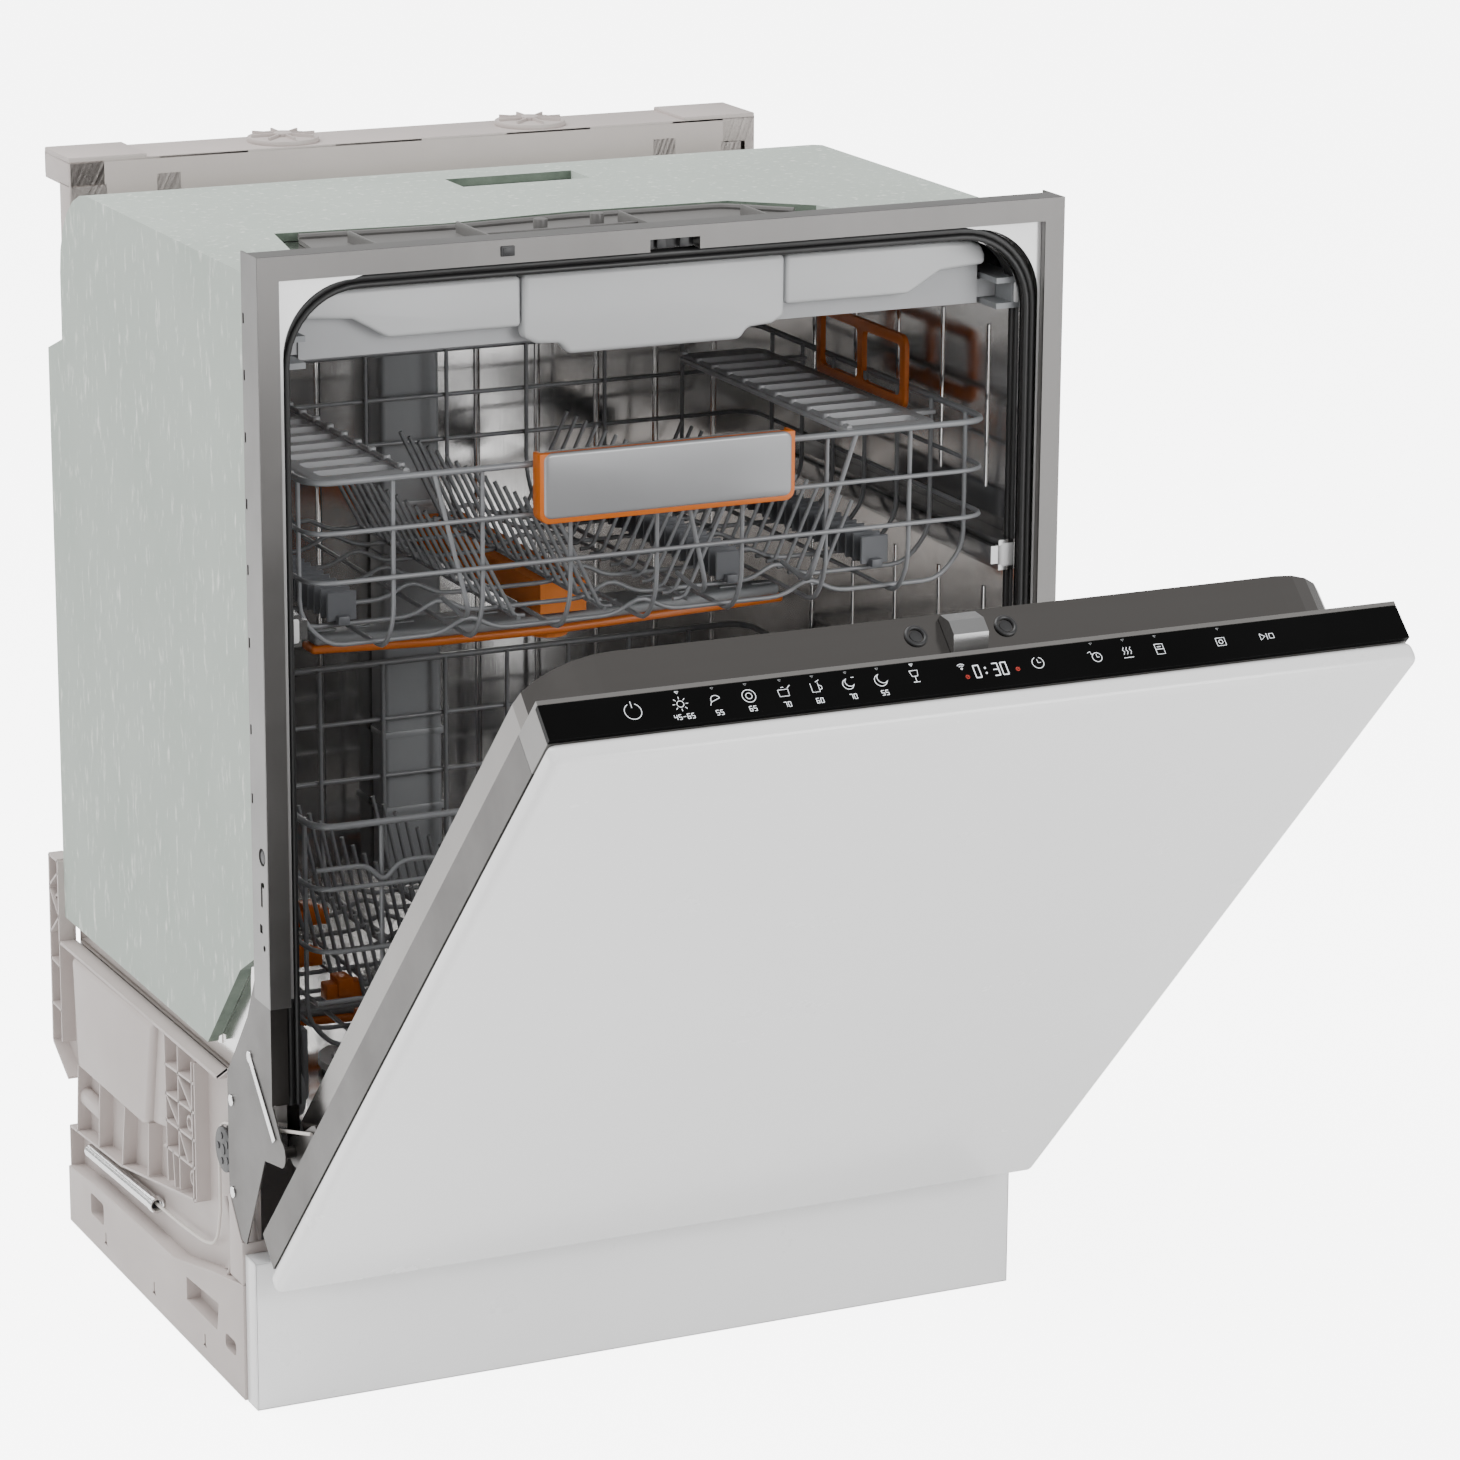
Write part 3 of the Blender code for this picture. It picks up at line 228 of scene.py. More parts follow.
# %% Finish maker
def finish(name, dark, light, rough, grain=900.0, depth=0.02, metal=0.0, coat=0.0,
           stretch=(1, 1, 1), sheen=0.0):
    """A procedural material between two colours."""
    mat = bpy.data.materials.new(name)
    mat.use_nodes = True
    tree = mat.node_tree
    shader = tree.nodes["Principled BSDF"]
    place = tree.nodes.new("ShaderNodeTexCoord")
    lines = tree.nodes.new("ShaderNodeMapping")
    lines.inputs["Scale"].default_value = stretch
    tree.links.new(place.outputs["Object"], lines.inputs["Vector"])
    fine = tree.nodes.new("ShaderNodeGroup")
    fine.node_tree = grain_group
    fine.inputs["Scale"].default_value = grain
    tree.links.new(lines.outputs["Vector"], fine.inputs["Vector"])
    colours = tree.nodes.new("ShaderNodeMix")
    colours.data_type = "RGBA"
    colours.inputs["A"].default_value = (*dark, 1)
    colours.inputs["B"].default_value = (*light, 1)
    tree.links.new(fine.outputs["Tone"], colours.inputs["Factor"])
    tree.links.new(colours.outputs["Result"], shader.inputs["Base Color"])
    worn = tree.nodes.new("ShaderNodeGroup")
    worn.node_tree = handling_group
    worn.inputs["Low"].default_value = rough[0]
    worn.inputs["High"].default_value = rough[1]
    tree.links.new(place.outputs["Object"], worn.inputs["Vector"])
    tree.links.new(worn.outputs["Roughness"], shader.inputs["Roughness"])
    bump = tree.nodes.new("ShaderNodeBump")
    bump.inputs["Strength"].default_value = depth
    bump.inputs["Distance"].default_value = 0.0004
    tree.links.new(fine.outputs["Height"], bump.inputs["Height"])
    tree.links.new(bump.outputs["Normal"], shader.inputs["Normal"])
    shader.inputs["Metallic"].default_value = metal
    shader.inputs["Coat Weight"].default_value = coat
    shader.inputs["Coat Roughness"].default_value = 0.12
    shader.inputs["Sheen Weight"].default_value = sheen
    return mat


print("finish maker ready")


# %% Steel and lacquer
DRAWN_UP = (1, 1, 0.02)
DRAWN_BACK = (1, 0.02, 1)
DRAWN_ACROSS = (0.02, 1, 1)
mirror_steel = finish("polished_steel", (0.62, 0.61, 0.60), (0.84, 0.83, 0.82), (0.10, 0.22),
                      700, 0.05, metal=1.0, stretch=DRAWN_UP)
# Painted shade: the liner steel gets a far darker colour than the tub's steel, standing for the dark reflections
# it shows.
door_steel_painted_shade = finish("door_liner_steel_painted_shade", (0.125, 0.118, 0.113), (0.210, 0.199, 0.190), (0.12, 0.20),
                    700, 0.05, metal=1.0, stretch=DRAWN_ACROSS)
satin_steel = finish("satin_frame", (0.140, 0.136, 0.132), (0.205, 0.199, 0.194), (0.28, 0.40),
                     800, 0.06, metal=0.75, stretch=DRAWN_UP)
shell_steel = finish("door_shell_steel", (0.062, 0.058, 0.055), (0.095, 0.089, 0.084), (0.30, 0.42),
                     800, 0.06, metal=0.85, stretch=DRAWN_BACK)
slide_steel = finish("slide_steel", (0.34, 0.34, 0.34), (0.48, 0.48, 0.48), (0.16, 0.28),
                     900, 0.05, metal=1.0, stretch=DRAWN_BACK)
spring_steel = finish("spring_steel", (0.62, 0.62, 0.62), (0.80, 0.80, 0.80), (0.08, 0.16),
                      900, 0.02, metal=1.0)
white_lacquer = finish("white_lacquer", (0.88, 0.88, 0.88), (0.92, 0.92, 0.92), (0.20, 0.28),
                       260, 0.015, coat=0.35)
kick_lacquer = finish("kick_lacquer", (0.86, 0.86, 0.86), (0.90, 0.90, 0.90), (0.26, 0.34),
                      260, 0.015, coat=0.3)
black_glass = finish("black_glass", (0.002, 0.002, 0.002), (0.005, 0.005, 0.005), (0.16, 0.24),
                     300, 0.004)
black_glass.node_tree.nodes["Principled BSDF"].inputs["IOR"].default_value = 1.12
print(len(bpy.data.materials), "materials so far")

# %% Plastic, rubber and wire coat
duct_plastic = finish("duct_plastic", (0.260, 0.270, 0.282), (0.320, 0.330, 0.342), (0.34, 0.46),
                      700, 0.06)
beige_plastic = finish("beige_plastic", (0.47, 0.418, 0.398), (0.55, 0.495, 0.472), (0.44, 0.58),
                       700, 0.10)
grey_plastic = finish("grey_plastic", (0.225, 0.235, 0.245), (0.28, 0.29, 0.30), (0.38, 0.52),
                      700, 0.08)
fascia_plastic = finish("fascia_plastic", (0.520, 0.528, 0.534), (0.590, 0.598, 0.604), (0.32, 0.42),
                        900, 0.05, coat=0.15)
handle_plastic = finish("handle_plastic", (0.290, 0.292, 0.300), (0.350, 0.352, 0.360), (0.28, 0.38),
                        900, 0.04, metal=0.25, coat=0.2)
dark_plastic = finish("dark_plastic", (0.016, 0.016, 0.017), (0.035, 0.035, 0.036), (0.36, 0.52),
                      700, 0.10)
module_plastic = finish("module_plastic", (0.100, 0.097, 0.094), (0.165, 0.160, 0.155), (0.32, 0.48),
                        700, 0.10)
seal_rubber = finish("seal_rubber", (0.010, 0.010, 0.010), (0.022, 0.022, 0.022), (0.38, 0.55),
                     600, 0.10)
orange_plastic = finish("orange_plastic", (0.55, 0.125, 0.010), (0.68, 0.165, 0.015), (0.34, 0.46),
                        800, 0.05, coat=0.1)
wire_coat = finish("rack_wire_coat", (0.170, 0.175, 0.185), (0.260, 0.265, 0.275), (0.30, 0.44),
                   1200, 0.06, coat=0.15)
comb_plastic = finish("comb_plastic", (0.10, 0.105, 0.115), (0.15, 0.155, 0.165), (0.36, 0.50),
                      800, 0.08)
cord_fibre = finish("cord_fibre", (0.66, 0.61, 0.57), (0.78, 0.74, 0.70), (0.60, 0.75),
                    2500, 0.30, stretch=(1, 0.25, 1))
trim_steel = finish("trim_steel", (0.80, 0.80, 0.80), (0.90, 0.90, 0.90), (0.14, 0.24),
                    900, 0.02, metal=0.6)
white_plastic = finish("white_plastic", (0.72, 0.72, 0.72), (0.80, 0.80, 0.80), (0.36, 0.48),
                       800, 0.05)
housing_plastic = finish("housing_plastic", (0.160, 0.154, 0.148), (0.200, 0.193, 0.186), (0.28, 0.40),
                         800, 0.05, metal=0.4)
shelf_plastic = finish("shelf_plastic", (0.34, 0.345, 0.355), (0.42, 0.425, 0.435), (0.34, 0.46),
                       900, 0.06)
print(len(bpy.data.materials), "materials")

# %% [markdown]
# ## Felt
#
# The sound-proofing hood is needled fibre felt: pale grey-green, with lighter
# fibres that mostly run up and down.  Faces that point forward, at the front edge
# and round the openings, get a near-black green as painted shade.  A mask on each
# face's direction picks those faces out, and a noise on the place mottles that painted shade.

# %% Felt finish
def felt_finish():
    """Fibre felt, with painted shade on the faces that point forward."""
    mat = finish("fibre_felt", (0.365, 0.425, 0.378), (0.480, 0.535, 0.485), (0.86, 0.97),
                 1500, 0.55, sheen=0.15)
    tree = mat.node_tree
    shader = tree.nodes["Principled BSDF"]
    place = next(n for n in tree.nodes if n.type == "TEX_COORD")
    under = shader.inputs["Base Color"].links[0].from_socket
    fibres = tree.nodes.new("ShaderNodeMapping")
    fibres.inputs["Scale"].default_value = (1, 1, 0.30)
    tree.links.new(place.outputs["Object"], fibres.inputs["Vector"])
    flecks = noise(tree, 170, 4, 0.6)
    tree.links.new(fibres.outputs["Vector"], flecks.inputs["Vector"])
    pick = tree.nodes.new("ShaderNodeMapRange")
    pick.inputs["From Min"].default_value = 0.57
    pick.inputs["From Max"].default_value = 0.74
    tree.links.new(flecks.outputs["Fac"], pick.inputs["Value"])
    light = tree.nodes.new("ShaderNodeMix")
    light.data_type = "RGBA"
    light.inputs["B"].default_value = (0.74, 0.76, 0.71, 1)
    tree.links.new(pick.outputs["Result"], light.inputs["Factor"])
    tree.links.new(under, light.inputs["A"])
    # Painted shade: faces that point forward get a mottled near-black green.
    facing = tree.nodes.new("ShaderNodeNewGeometry")
    parts = tree.nodes.new("ShaderNodeSeparateXYZ")
    tree.links.new(facing.outputs["True Normal"], parts.inputs["Vector"])
    forward = tree.nodes.new("ShaderNodeMath")
    forward.operation = "LESS_THAN"
    forward.inputs[1].default_value = -0.35
    tree.links.new(parts.outputs["Y"], forward.inputs[0])
    mottle = noise(tree, 60, 5, 0.7)
    tree.links.new(place.outputs["Object"], mottle.inputs["Vector"])
    felt_shade_and_spring_core = tree.nodes.new("ShaderNodeMix")
    felt_shade_and_spring_core.data_type = "RGBA"
    felt_shade_and_spring_core.inputs["A"].default_value = (0.045, 0.070, 0.050, 1)
    felt_shade_and_spring_core.inputs["B"].default_value = (0.200, 0.250, 0.200, 1)
    tree.links.new(mottle.outputs["Fac"], felt_shade_and_spring_core.inputs["Factor"])
    # This mix lays the painted shade over the felt colour on faces that point forward.
    boolean_cut_and_felt_shade = tree.nodes.new("ShaderNodeMix")
    boolean_cut_and_felt_shade.data_type = "RGBA"
    tree.links.new(forward.outputs["Value"], boolean_cut_and_felt_shade.inputs["Factor"])
    tree.links.new(light.outputs["Result"], boolean_cut_and_felt_shade.inputs["A"])
    tree.links.new(felt_shade_and_spring_core.outputs["Result"], boolean_cut_and_felt_shade.inputs["B"])
    tree.links.new(boolean_cut_and_felt_shade.outputs["Result"], shader.inputs["Base Color"])
    return mat


fibre_felt = felt_finish()


def lit_print():
    """White print that glows faintly behind the glass."""
    mat = finish("lit_print", (0.70, 0.72, 0.74), (0.80, 0.82, 0.84), (0.45, 0.55), 900, 0.01)
    shader = mat.node_tree.nodes["Principled BSDF"]
    shader.inputs["Emission Color"].default_value = (0.9, 0.95, 1.0, 1)
    shader.inputs["Emission Strength"].default_value = 0.8
    return mat


bright_print = lit_print()
dim_print = finish("dim_print", (0.30, 0.31, 0.32), (0.38, 0.39, 0.40), (0.45, 0.55), 900, 0.01)
red_print = finish("red_print", (0.42, 0.03, 0.02), (0.52, 0.05, 0.03), (0.45, 0.55), 900, 0.01)
print("felt and prints ready")

# %% [markdown]
# ## Modelling helpers
#
# Every new piece starts as a primitive and is shaped with Blender's own
# operators.  A block is a cube that is scaled and bevelled.  A plate is a filled
# circle whose points are moved to an outline and then extruded.  A wire is a
# curve with a round bevel.  Each helper starts by deselecting everything, because
# an operator works on all that is selected.

# %% Blocks and plates
def soften(piece, width, segments=2, angle=30):
    """Rounds the sharp edges with an applied bevel."""
    only(piece)
    edge = piece.modifiers.new("edge", "BEVEL")
    edge.width = width
    edge.segments = segments
    edge.limit_method = "ANGLE"
    edge.angle_limit = math.radians(angle)
    bpy.ops.object.modifier_apply(modifier=edge.name)
    return piece


def block(x0, x1, y0, y1, z0, z1, round_by=0.0, segments=2):
    """A block between two corners, with rounded edges."""
    only()
    centre = ((x0 + x1) / 2, (y0 + y1) / 2, (z0 + z1) / 2)
    size = (abs(x1 - x0), abs(y1 - y0), abs(z1 - z0))
    bpy.ops.mesh.primitive_cube_add(size=1, location=centre, scale=size)
    bpy.ops.object.transform_apply(location=True, rotation=True, scale=True)
    piece = bpy.context.object
    return soften(piece, round_by, segments) if round_by else piece


def on_axis(axis, u, v, along):
    """A point from two outline coordinates and its place along the axis."""
    return {"X": (along, u, v), "Y": (u, along, v), "Z": (u, v, along)}[axis]


def plate(axis, outline, low, high, round_by=0.0, segments=2):
    """An outline extruded along X, Y or Z."""
    only()
    bpy.ops.mesh.primitive_circle_add(vertices=len(outline), radius=1, fill_type="NGON")
    piece = bpy.context.object
    for vertex, (u, v) in zip(piece.data.vertices, outline):
        vertex.co = on_axis(axis, u, v, low)
    bpy.ops.object.mode_set(mode="EDIT")
    bpy.ops.mesh.select_all(action="SELECT")
    step = on_axis(axis, 0, 0, high - low)
    bpy.ops.mesh.extrude_region_move(TRANSFORM_OT_translate={"value": step})
    bpy.ops.mesh.select_all(action="SELECT")
    bpy.ops.mesh.normals_make_consistent(inside=False)
    bpy.ops.object.mode_set(mode="OBJECT")
    return soften(piece, round_by, segments) if round_by else piece


print("blocks and plates ready")


# %% Round shapes and joining
def arc(u, v, radius, start, end, steps):
    """Points round a centre, angles in degrees."""
    angles = [math.radians(start + (end - start) * i / steps) for i in range(steps + 1)]
    return [(u + radius * math.cos(a), v + radius * math.sin(a)) for a in angles]


def rounded(u0, u1, v0, v1, radius, steps=5):
    """The outline of a rounded rectangle."""
    corners = ((u1 - radius, v1 - radius, 0), (u0 + radius, v1 - radius, 90),
               (u0 + radius, v0 + radius, 180), (u1 - radius, v0 + radius, 270))
    return [point for u, v, turn in corners for point in arc(u, v, radius, turn, turn + 90, steps)]


def rod(axis, u, v, radius, low, high, sides=24, round_by=0.0):
    """A round bar along X, Y or Z."""
    return plate(axis, arc(u, v, radius, 0, 360, sides)[:-1], low, high, round_by)


def join(*pieces):
    """Several pieces as one object."""
    only(*pieces)
    bpy.ops.object.join()
    return bpy.context.object


def carve(piece, *cutters):
    """Cuts tools out of a piece and removes them."""
    for cutter in cutters:
        only(piece)
        step = piece.modifiers.new("boolean_cut_and_felt_shade", "BOOLEAN")
        step.operation = "DIFFERENCE"
        step.object = cutter
        bpy.ops.object.modifier_apply(modifier=step.name)
        bpy.data.objects.remove(cutter, do_unlink=True)
    return piece


print("round shapes ready")


# %% Wires
def bends(points, radius, steps=4, closed=False):
    """The same path with its corners rounded."""
    points = [Vector(p) for p in points]
    count = len(points)
    path = []
    for i, here in enumerate(points):
        if not closed and i in (0, count - 1):
            path.append(here)
            continue
        before, after = points[i - 1] - here, points[(i + 1) % count] - here
        reach = min(radius, before.length * 0.45, after.length * 0.45)
        a, b = here + before.normalized() * reach, here + after.normalized() * reach
        for k in range(steps + 1):
            t = k / steps
            path.append(a * (1 - t) ** 2 + here * 2 * t * (1 - t) + b * t ** 2)
    return path


def wires(paths, radius, sides=2, closed=False):
    """Round wires along paths, all in one mesh."""
    only()
    curve = bpy.data.curves.new("wire_paths", "CURVE")
    curve.dimensions = "3D"
    curve.bevel_depth = radius
    curve.bevel_resolution = sides
    curve.use_fill_caps = not closed
    for path in paths:
        spline = curve.splines.new("POLY")
        spline.points.add(len(path) - 1)
        spline.use_cyclic_u = closed
        for point, place in zip(spline.points, path):
            point.co = (*place, 1)
    piece = bpy.data.objects.new("wire_paths", curve)
    bpy.context.scene.collection.objects.link(piece)
    only(piece)
    bpy.ops.object.convert(target="MESH")
    return bpy.context.object


print("wires ready")


# %% Finishing a piece
def finished(piece, name, body, look, where=CABINET, replaces=(), angle=35):
    """Seats a piece in the frame, smooths it, gives it its look and its body."""
    piece.matrix_world = where @ piece.matrix_world
    only(piece)
    bpy.ops.object.transform_apply(location=True, rotation=True, scale=True)
    bpy.ops.object.mode_set(mode="EDIT")
    bpy.ops.mesh.select_all(action="SELECT")
    bpy.ops.mesh.remove_doubles(threshold=0.00001)
    bpy.ops.mesh.normals_make_consistent(inside=False)
    bpy.ops.object.mode_set(mode="OBJECT")
    bpy.ops.object.shade_smooth_by_angle(angle=math.radians(angle))
    piece.name = name
    piece.data.name = name
    piece.data.materials.clear()
    piece.data.materials.append(look)
    if body:
        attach(piece, body)
    if replaces:
        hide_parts(*replaces)
    return piece


def paint(node, look):
    """A new finish on a CAD node whose shape is right."""
    surface = frame["nodes"][node].data.materials
    surface.clear()
    surface.append(look)


def side_span(side, inner, outer):
    """Low and high x between two distances from the middle."""
    return sorted((side * inner, side * outer))


SIDES = ((-1, "left"), (1, "right"))
print("helpers ready")

# %% [markdown]
# ## Cabinet: what keeps its CAD shape
#
# The tub, the felt hood and most hidden parts already have the right shape, so
# they only need a finish.

# %% Finishes on CAD nodes
paint("tub", mirror_steel)
paint("insulation_blanket", fibre_felt)
paint("base_pan", beige_plastic)
for hidden in ("sump", "filter_cylinder", "water_softener", "tray_track_left", "tray_track_right",
               "dispenser_body", "dispenser_lid", "rinse_cap"):
    paint(hidden, grey_plastic)
for hidden in ("wash_pump", "drain_pump", "foot_front_left", "foot_front_right", "foot_rear"):
    paint(hidden, dark_plastic)
for steel in ("outer_sheet", "hinge_arm_left", "hinge_arm_right", "hinge_bracket_left",
              "hinge_bracket_right"):
    paint(steel, shell_steel)
for steel in ("upper_rail_left", "upper_rail_right", "upper_slider_left", "upper_slider_right"):
    paint(steel, slide_steel)
paint("salt_cap", white_plastic)
paint("control_strip", black_glass)
print("painted the CAD nodes that stay")

# %% [markdown]
# ## Front frame
#
# The frame is folded sheet: a flat face round the opening and flanges that run
# back along the sides.  The left flange shows a row of clip holes and two round
# mounting points, so these are cut right through and backed with black plugs.

# %% Front frame
sheet, strip, flange_depth, lip_depth = 0.0012, 0.015, 0.031, 0.009
latch_half = 0.0185
frame_min, frame_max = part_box("front_frame")
half_width, frame_low, frame_top = frame_max.x, frame_min.z, frame_max.z
bar_low = frame_top - 0.0163
face_outline = [(-half_width, frame_low), (-half_width, frame_top), (half_width, frame_top),
                (half_width, frame_low), (half_width - strip, frame_low),
                (half_width - strip, bar_low), (strip - half_width, bar_low),
                (strip - half_width, frame_low)]
face = plate("Y", face_outline, 0, sheet)
face = carve(face, block(-latch_half, latch_half, -0.01, 0.01, bar_low - 0.01, bar_low + 0.0085))
flanges = []
clip_heights = (0.780, 0.742, 0.700, 0.655, 0.610, 0.560, 0.500, 0.452)
for side, word in SIDES:
    flange = block(*side_span(side, half_width - sheet, half_width), sheet * 0.5, flange_depth,
                   frame_low, frame_top)
    reach = side_span(side, half_width - 0.01, half_width + 0.01)
    holes = [block(*reach, 0.0265, 0.0292, z - 0.0035, z + 0.0035) for z in clip_heights]
    holes += [rod("X", 0.011, 0.415, 0.0062, *reach), block(*reach, 0.0115, 0.0145, 0.3795, 0.3965),
              block(*reach, 0.0125, 0.0175, 0.3605, 0.3665), rod("X", 0.0100, 0.3955, 0.0022, *reach, 12),
              rod("X", 0.0095, 0.351, 0.0022, *reach, 12)]
    flanges.append(carve(flange, *holes))
roof = block(sheet - half_width, half_width - sheet, sheet * 0.5, 0.0215, frame_top - sheet, frame_top)
lip = block(sheet - half_width, half_width - sheet, 0.0203, 0.0215, frame_top - 0.006, frame_top - sheet)
inner_lips = [block(*side_span(side, half_width - strip, half_width - strip + sheet), sheet * 0.5,
                    lip_depth, frame_low, bar_low) for side, word in SIDES]
bar_lip = block(strip - half_width, half_width - strip, sheet * 0.5, lip_depth, bar_low, bar_low + sheet)
bar_lip = carve(bar_lip, block(-latch_half, latch_half, -0.01, 0.02, bar_low - 0.01, bar_low + 0.01))
front_frame = finished(join(face, *flanges, roof, lip, *inner_lips, bar_lip), "frame_sheet", "cabinet",
                       satin_steel, replaces=["front_frame"])
print("frame", len(front_frame.data.polygons), "faces")

# %% Frame fixings and latch catch
backs = []
for side, word in SIDES:
    back = side_span(side, half_width - 0.0042, half_width - sheet - 0.0003)
    backs += [block(*back, 0.0255, 0.0302, z - 0.005, z + 0.005, 0.0004) for z in clip_heights]
    plug = rod("X", 0.011, 0.415, 0.0075, *back, 24)
    stud = rod("X", 0.011, 0.415, 0.0046, *side_span(side, half_width - 0.003, half_width - 0.0004),
               24, 0.0006)
    backs += [plug, stud, block(*back, 0.0105, 0.0185, 0.3585, 0.3685)]
fixings = finished(join(*backs), "frame_fixings", "cabinet", dark_plastic)
x = -0.1225
small = [block(x - 0.0050, x + 0.0050, -0.0012, 0.0030, bar_low + 0.0050, bar_low + 0.0120, 0.0006),
         block(x - 0.0035, x + 0.0035, -0.0016, -0.0008, bar_low + 0.0062, bar_low + 0.0108, 0.0003)]
for x in (-0.017, -0.0075, 0.0095):
    small.append(block(x - 0.0035, x + 0.0035, 0.0054, 0.0100, bar_low + 0.0010, bar_low + 0.0090, 0.0006))
small.append(block(-0.0182, 0.0182, 0.0100, 0.0130, bar_low + 0.0005, bar_low + 0.0140, 0.0004))
latch_catch = finished(join(*small), "latch_catch", "cabinet", dark_plastic)
print("fixings", len(fixings.data.polygons), "faces, catch", len(latch_catch.data.polygons))

# %% [markdown]
# ## Door seal
#
# The seal is an extruded rubber section with two soft lips.  It runs up one side,
# round the top corners and down the other, so a path with rounded corners and a
# round section for each lip gives the double line that catches the light.

# %% Door seal
seal_low, seal_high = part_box("door_gasket")
seal_front = seal_low.y - front_y
seal_half, seal_top = seal_high.x, seal_high.z
seal_corner = 0.0602


def mouth_path(inset, y, low):
    """The path of the opening, set in from the seal's outer edge."""
    half, top, radius = seal_half - inset, seal_top - inset, seal_corner - inset
    path = [(-half, y, low)]
    path += [(u, y, v) for u, v in arc(radius - half, top - radius, radius, 180, 90, 10)]
    path += [(u, y, v) for u, v in arc(half - radius, top - radius, radius, 90, 0, 10)]
    return path + [(half, y, low)]


lips = [wires([mouth_path(0.0030, seal_front + 0.0036, seal_low.z)], 0.0029, 3),
        wires([mouth_path(0.0078, seal_front + 0.0026, seal_low.z)], 0.0023, 3),
        wires([mouth_path(0.0056, seal_front + 0.0050, seal_low.z)], 0.0021, 3)]
door_seal = finished(join(*lips), "door_seal", "cabinet", seal_rubber,
                     replaces=["door_gasket"], angle=60)
print("seal", len(door_seal.data.polygons), "faces")

# %% [markdown]
# In front of the seal a polished trim fills the space between the square frame
# and the round-cornered opening.  Its corners are the brightest steel in view.
# The hole in it clears the door's liner, which passes through it when the door
# shuts.

# %% Mouth trim
trim_half, trim_top = half_width - strip - 0.0002, bar_low - 0.0002
trim_corner, trim_foot = 0.050, 0.3140
webs = []
for side, word in SIDES:
    hole = 0.2798 if side < 0 else 0.2822
    curve = arc(hole - trim_corner, trim_top - 0.003 - trim_corner, trim_corner, 0, 90, 14)
    line = [(trim_half, trim_foot), (trim_half, trim_top), (0.2200, trim_top), *curve[::-1],
            (hole, trim_foot)]
    webs.append(plate("Y", [(side * u, v) for u, v in line], 0.0060, 0.0068))
mouth_trim = finished(join(*webs), "mouth_trim", "cabinet", trim_steel)
print("trim", len(mouth_trim.data.polygons), "faces")

# %% [markdown]
# ## Pressed ribs in the tub walls
#
# Thin steel walls are pressed into shallow upright ribs so that they don't drum.
# A half-round bar laid on the wall gives each rib, and the polished finish turns
# them into the bright and dark bands seen inside any dishwasher.

# %% Tub ribs
wall_x = 0.2809
back_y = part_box("tub")[1].y - front_y - 0.0016
rib_radius, rib_sunk = 0.0030, 0.0015


def pressed(x, y, low, high):
    """A low, smooth upright rib."""
    return wires([bends([(x, y, low), (x, y, high)], 0.02, 5)], rib_radius, 3)


ribs = []
for side, word in SIDES:
    x = side * (wall_x + rib_sunk)
    for y in (0.075, 0.145, 0.215, 0.285, 0.355):
        ribs.append(pressed(x, y, 0.240, 0.530))
        ribs.append(pressed(x, y, 0.604, 0.722))
for x in (-0.235, -0.185, -0.135, -0.085, 0.045, 0.095, 0.145, 0.195, 0.245):
    ribs.append(pressed(x, back_y + rib_sunk, 0.235, 0.655))
tub_ribs = finished(join(*ribs), "tub_ribs", "cabinet", mirror_steel, angle=60)
print("ribs", len(tub_ribs.data.polygons), "faces")

# %% [markdown]
# ## Latch and vent carrier on the roof
#
# Behind the top bar a grey moulding carries the door catch.  It is a flat tray
# with upright walls, oval slots, a square opening and small screw posts.

# %% Latch carrier
z0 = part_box("latch_module")[0].z
outline = [(-0.225, 0.0182), (-0.208, 0.165), (-0.10, 0.158), (0.0, 0.166), (0.11, 0.162),
           (0.150, 0.125), (0.175, 0.0182)]
tray_floor = plate("Z", outline, z0, z0 + 0.0030)
slots = [block(-0.170, -0.130, 0.050, 0.080, z0 - 0.01, z0 + 0.02),
         block(-0.060, -0.035, 0.060, 0.066, z0 - 0.01, z0 + 0.02, 0.0025),
         block(-0.020, 0.005, 0.060, 0.066, z0 - 0.01, z0 + 0.02, 0.0025),
         block(0.050, 0.085, 0.060, 0.085, z0 - 0.01, z0 + 0.02)]
tray_floor = carve(tray_floor, *slots)
walls = [block(-0.205, 0.150, 0.0182, 0.0202, z0, z0 + 0.0165, 0.0006),
         block(-0.205, 0.150, 0.0330, 0.0350, z0, z0 + 0.0130, 0.0006),
         block(-0.180, -0.120, 0.0880, 0.0900, z0, z0 + 0.0100, 0.0005),
         block(-0.182, -0.180, 0.0350, 0.1400, z0, z0 + 0.0110, 0.0005),
         block(-0.100, -0.098, 0.0350, 0.1450, z0, z0 + 0.0110, 0.0005),
         block(0.020, 0.022, 0.0350, 0.1400, z0, z0 + 0.0110, 0.0005),
         block(0.110, 0.112, 0.0350, 0.1300, z0, z0 + 0.0110, 0.0005),
         block(-0.098, 0.020, 0.1050, 0.1070, z0, z0 + 0.0090, 0.0005)]
for i in range(12):
    x = -0.195 + 0.029 * i
    walls.append(block(x, x + 0.0016, 0.0202, 0.0330, z0, z0 + 0.0120, 0.0004))
posts = [rod("Z", x, y, 0.0050, z0, z0 + 0.0125, 20, 0.0008)
         for x, y in ((-0.075, 0.048), (-0.045, 0.125), (0.000, 0.130), (0.040, 0.050), (0.135, 0.060))]
rim_path = [(x, y, z0 + 0.0045) for x, y in outline[1:-1]]
rim = wires([bends(rim_path, 0.01)], 0.0022, 2)
carrier = finished(join(tray_floor, *walls, *posts, rim), "latch_carrier", "cabinet",
                   module_plastic, replaces=["latch_module"])
print("carrier", len(carrier.data.polygons), "faces")

# %% [markdown]
# ## Rear brace
#
# A hollow beam of ribbed plastic crosses the back.  It is a shallow channel with
# a rib every few centimetres, two low domes with spokes where it is clamped, and
# two legs that reach the tub.

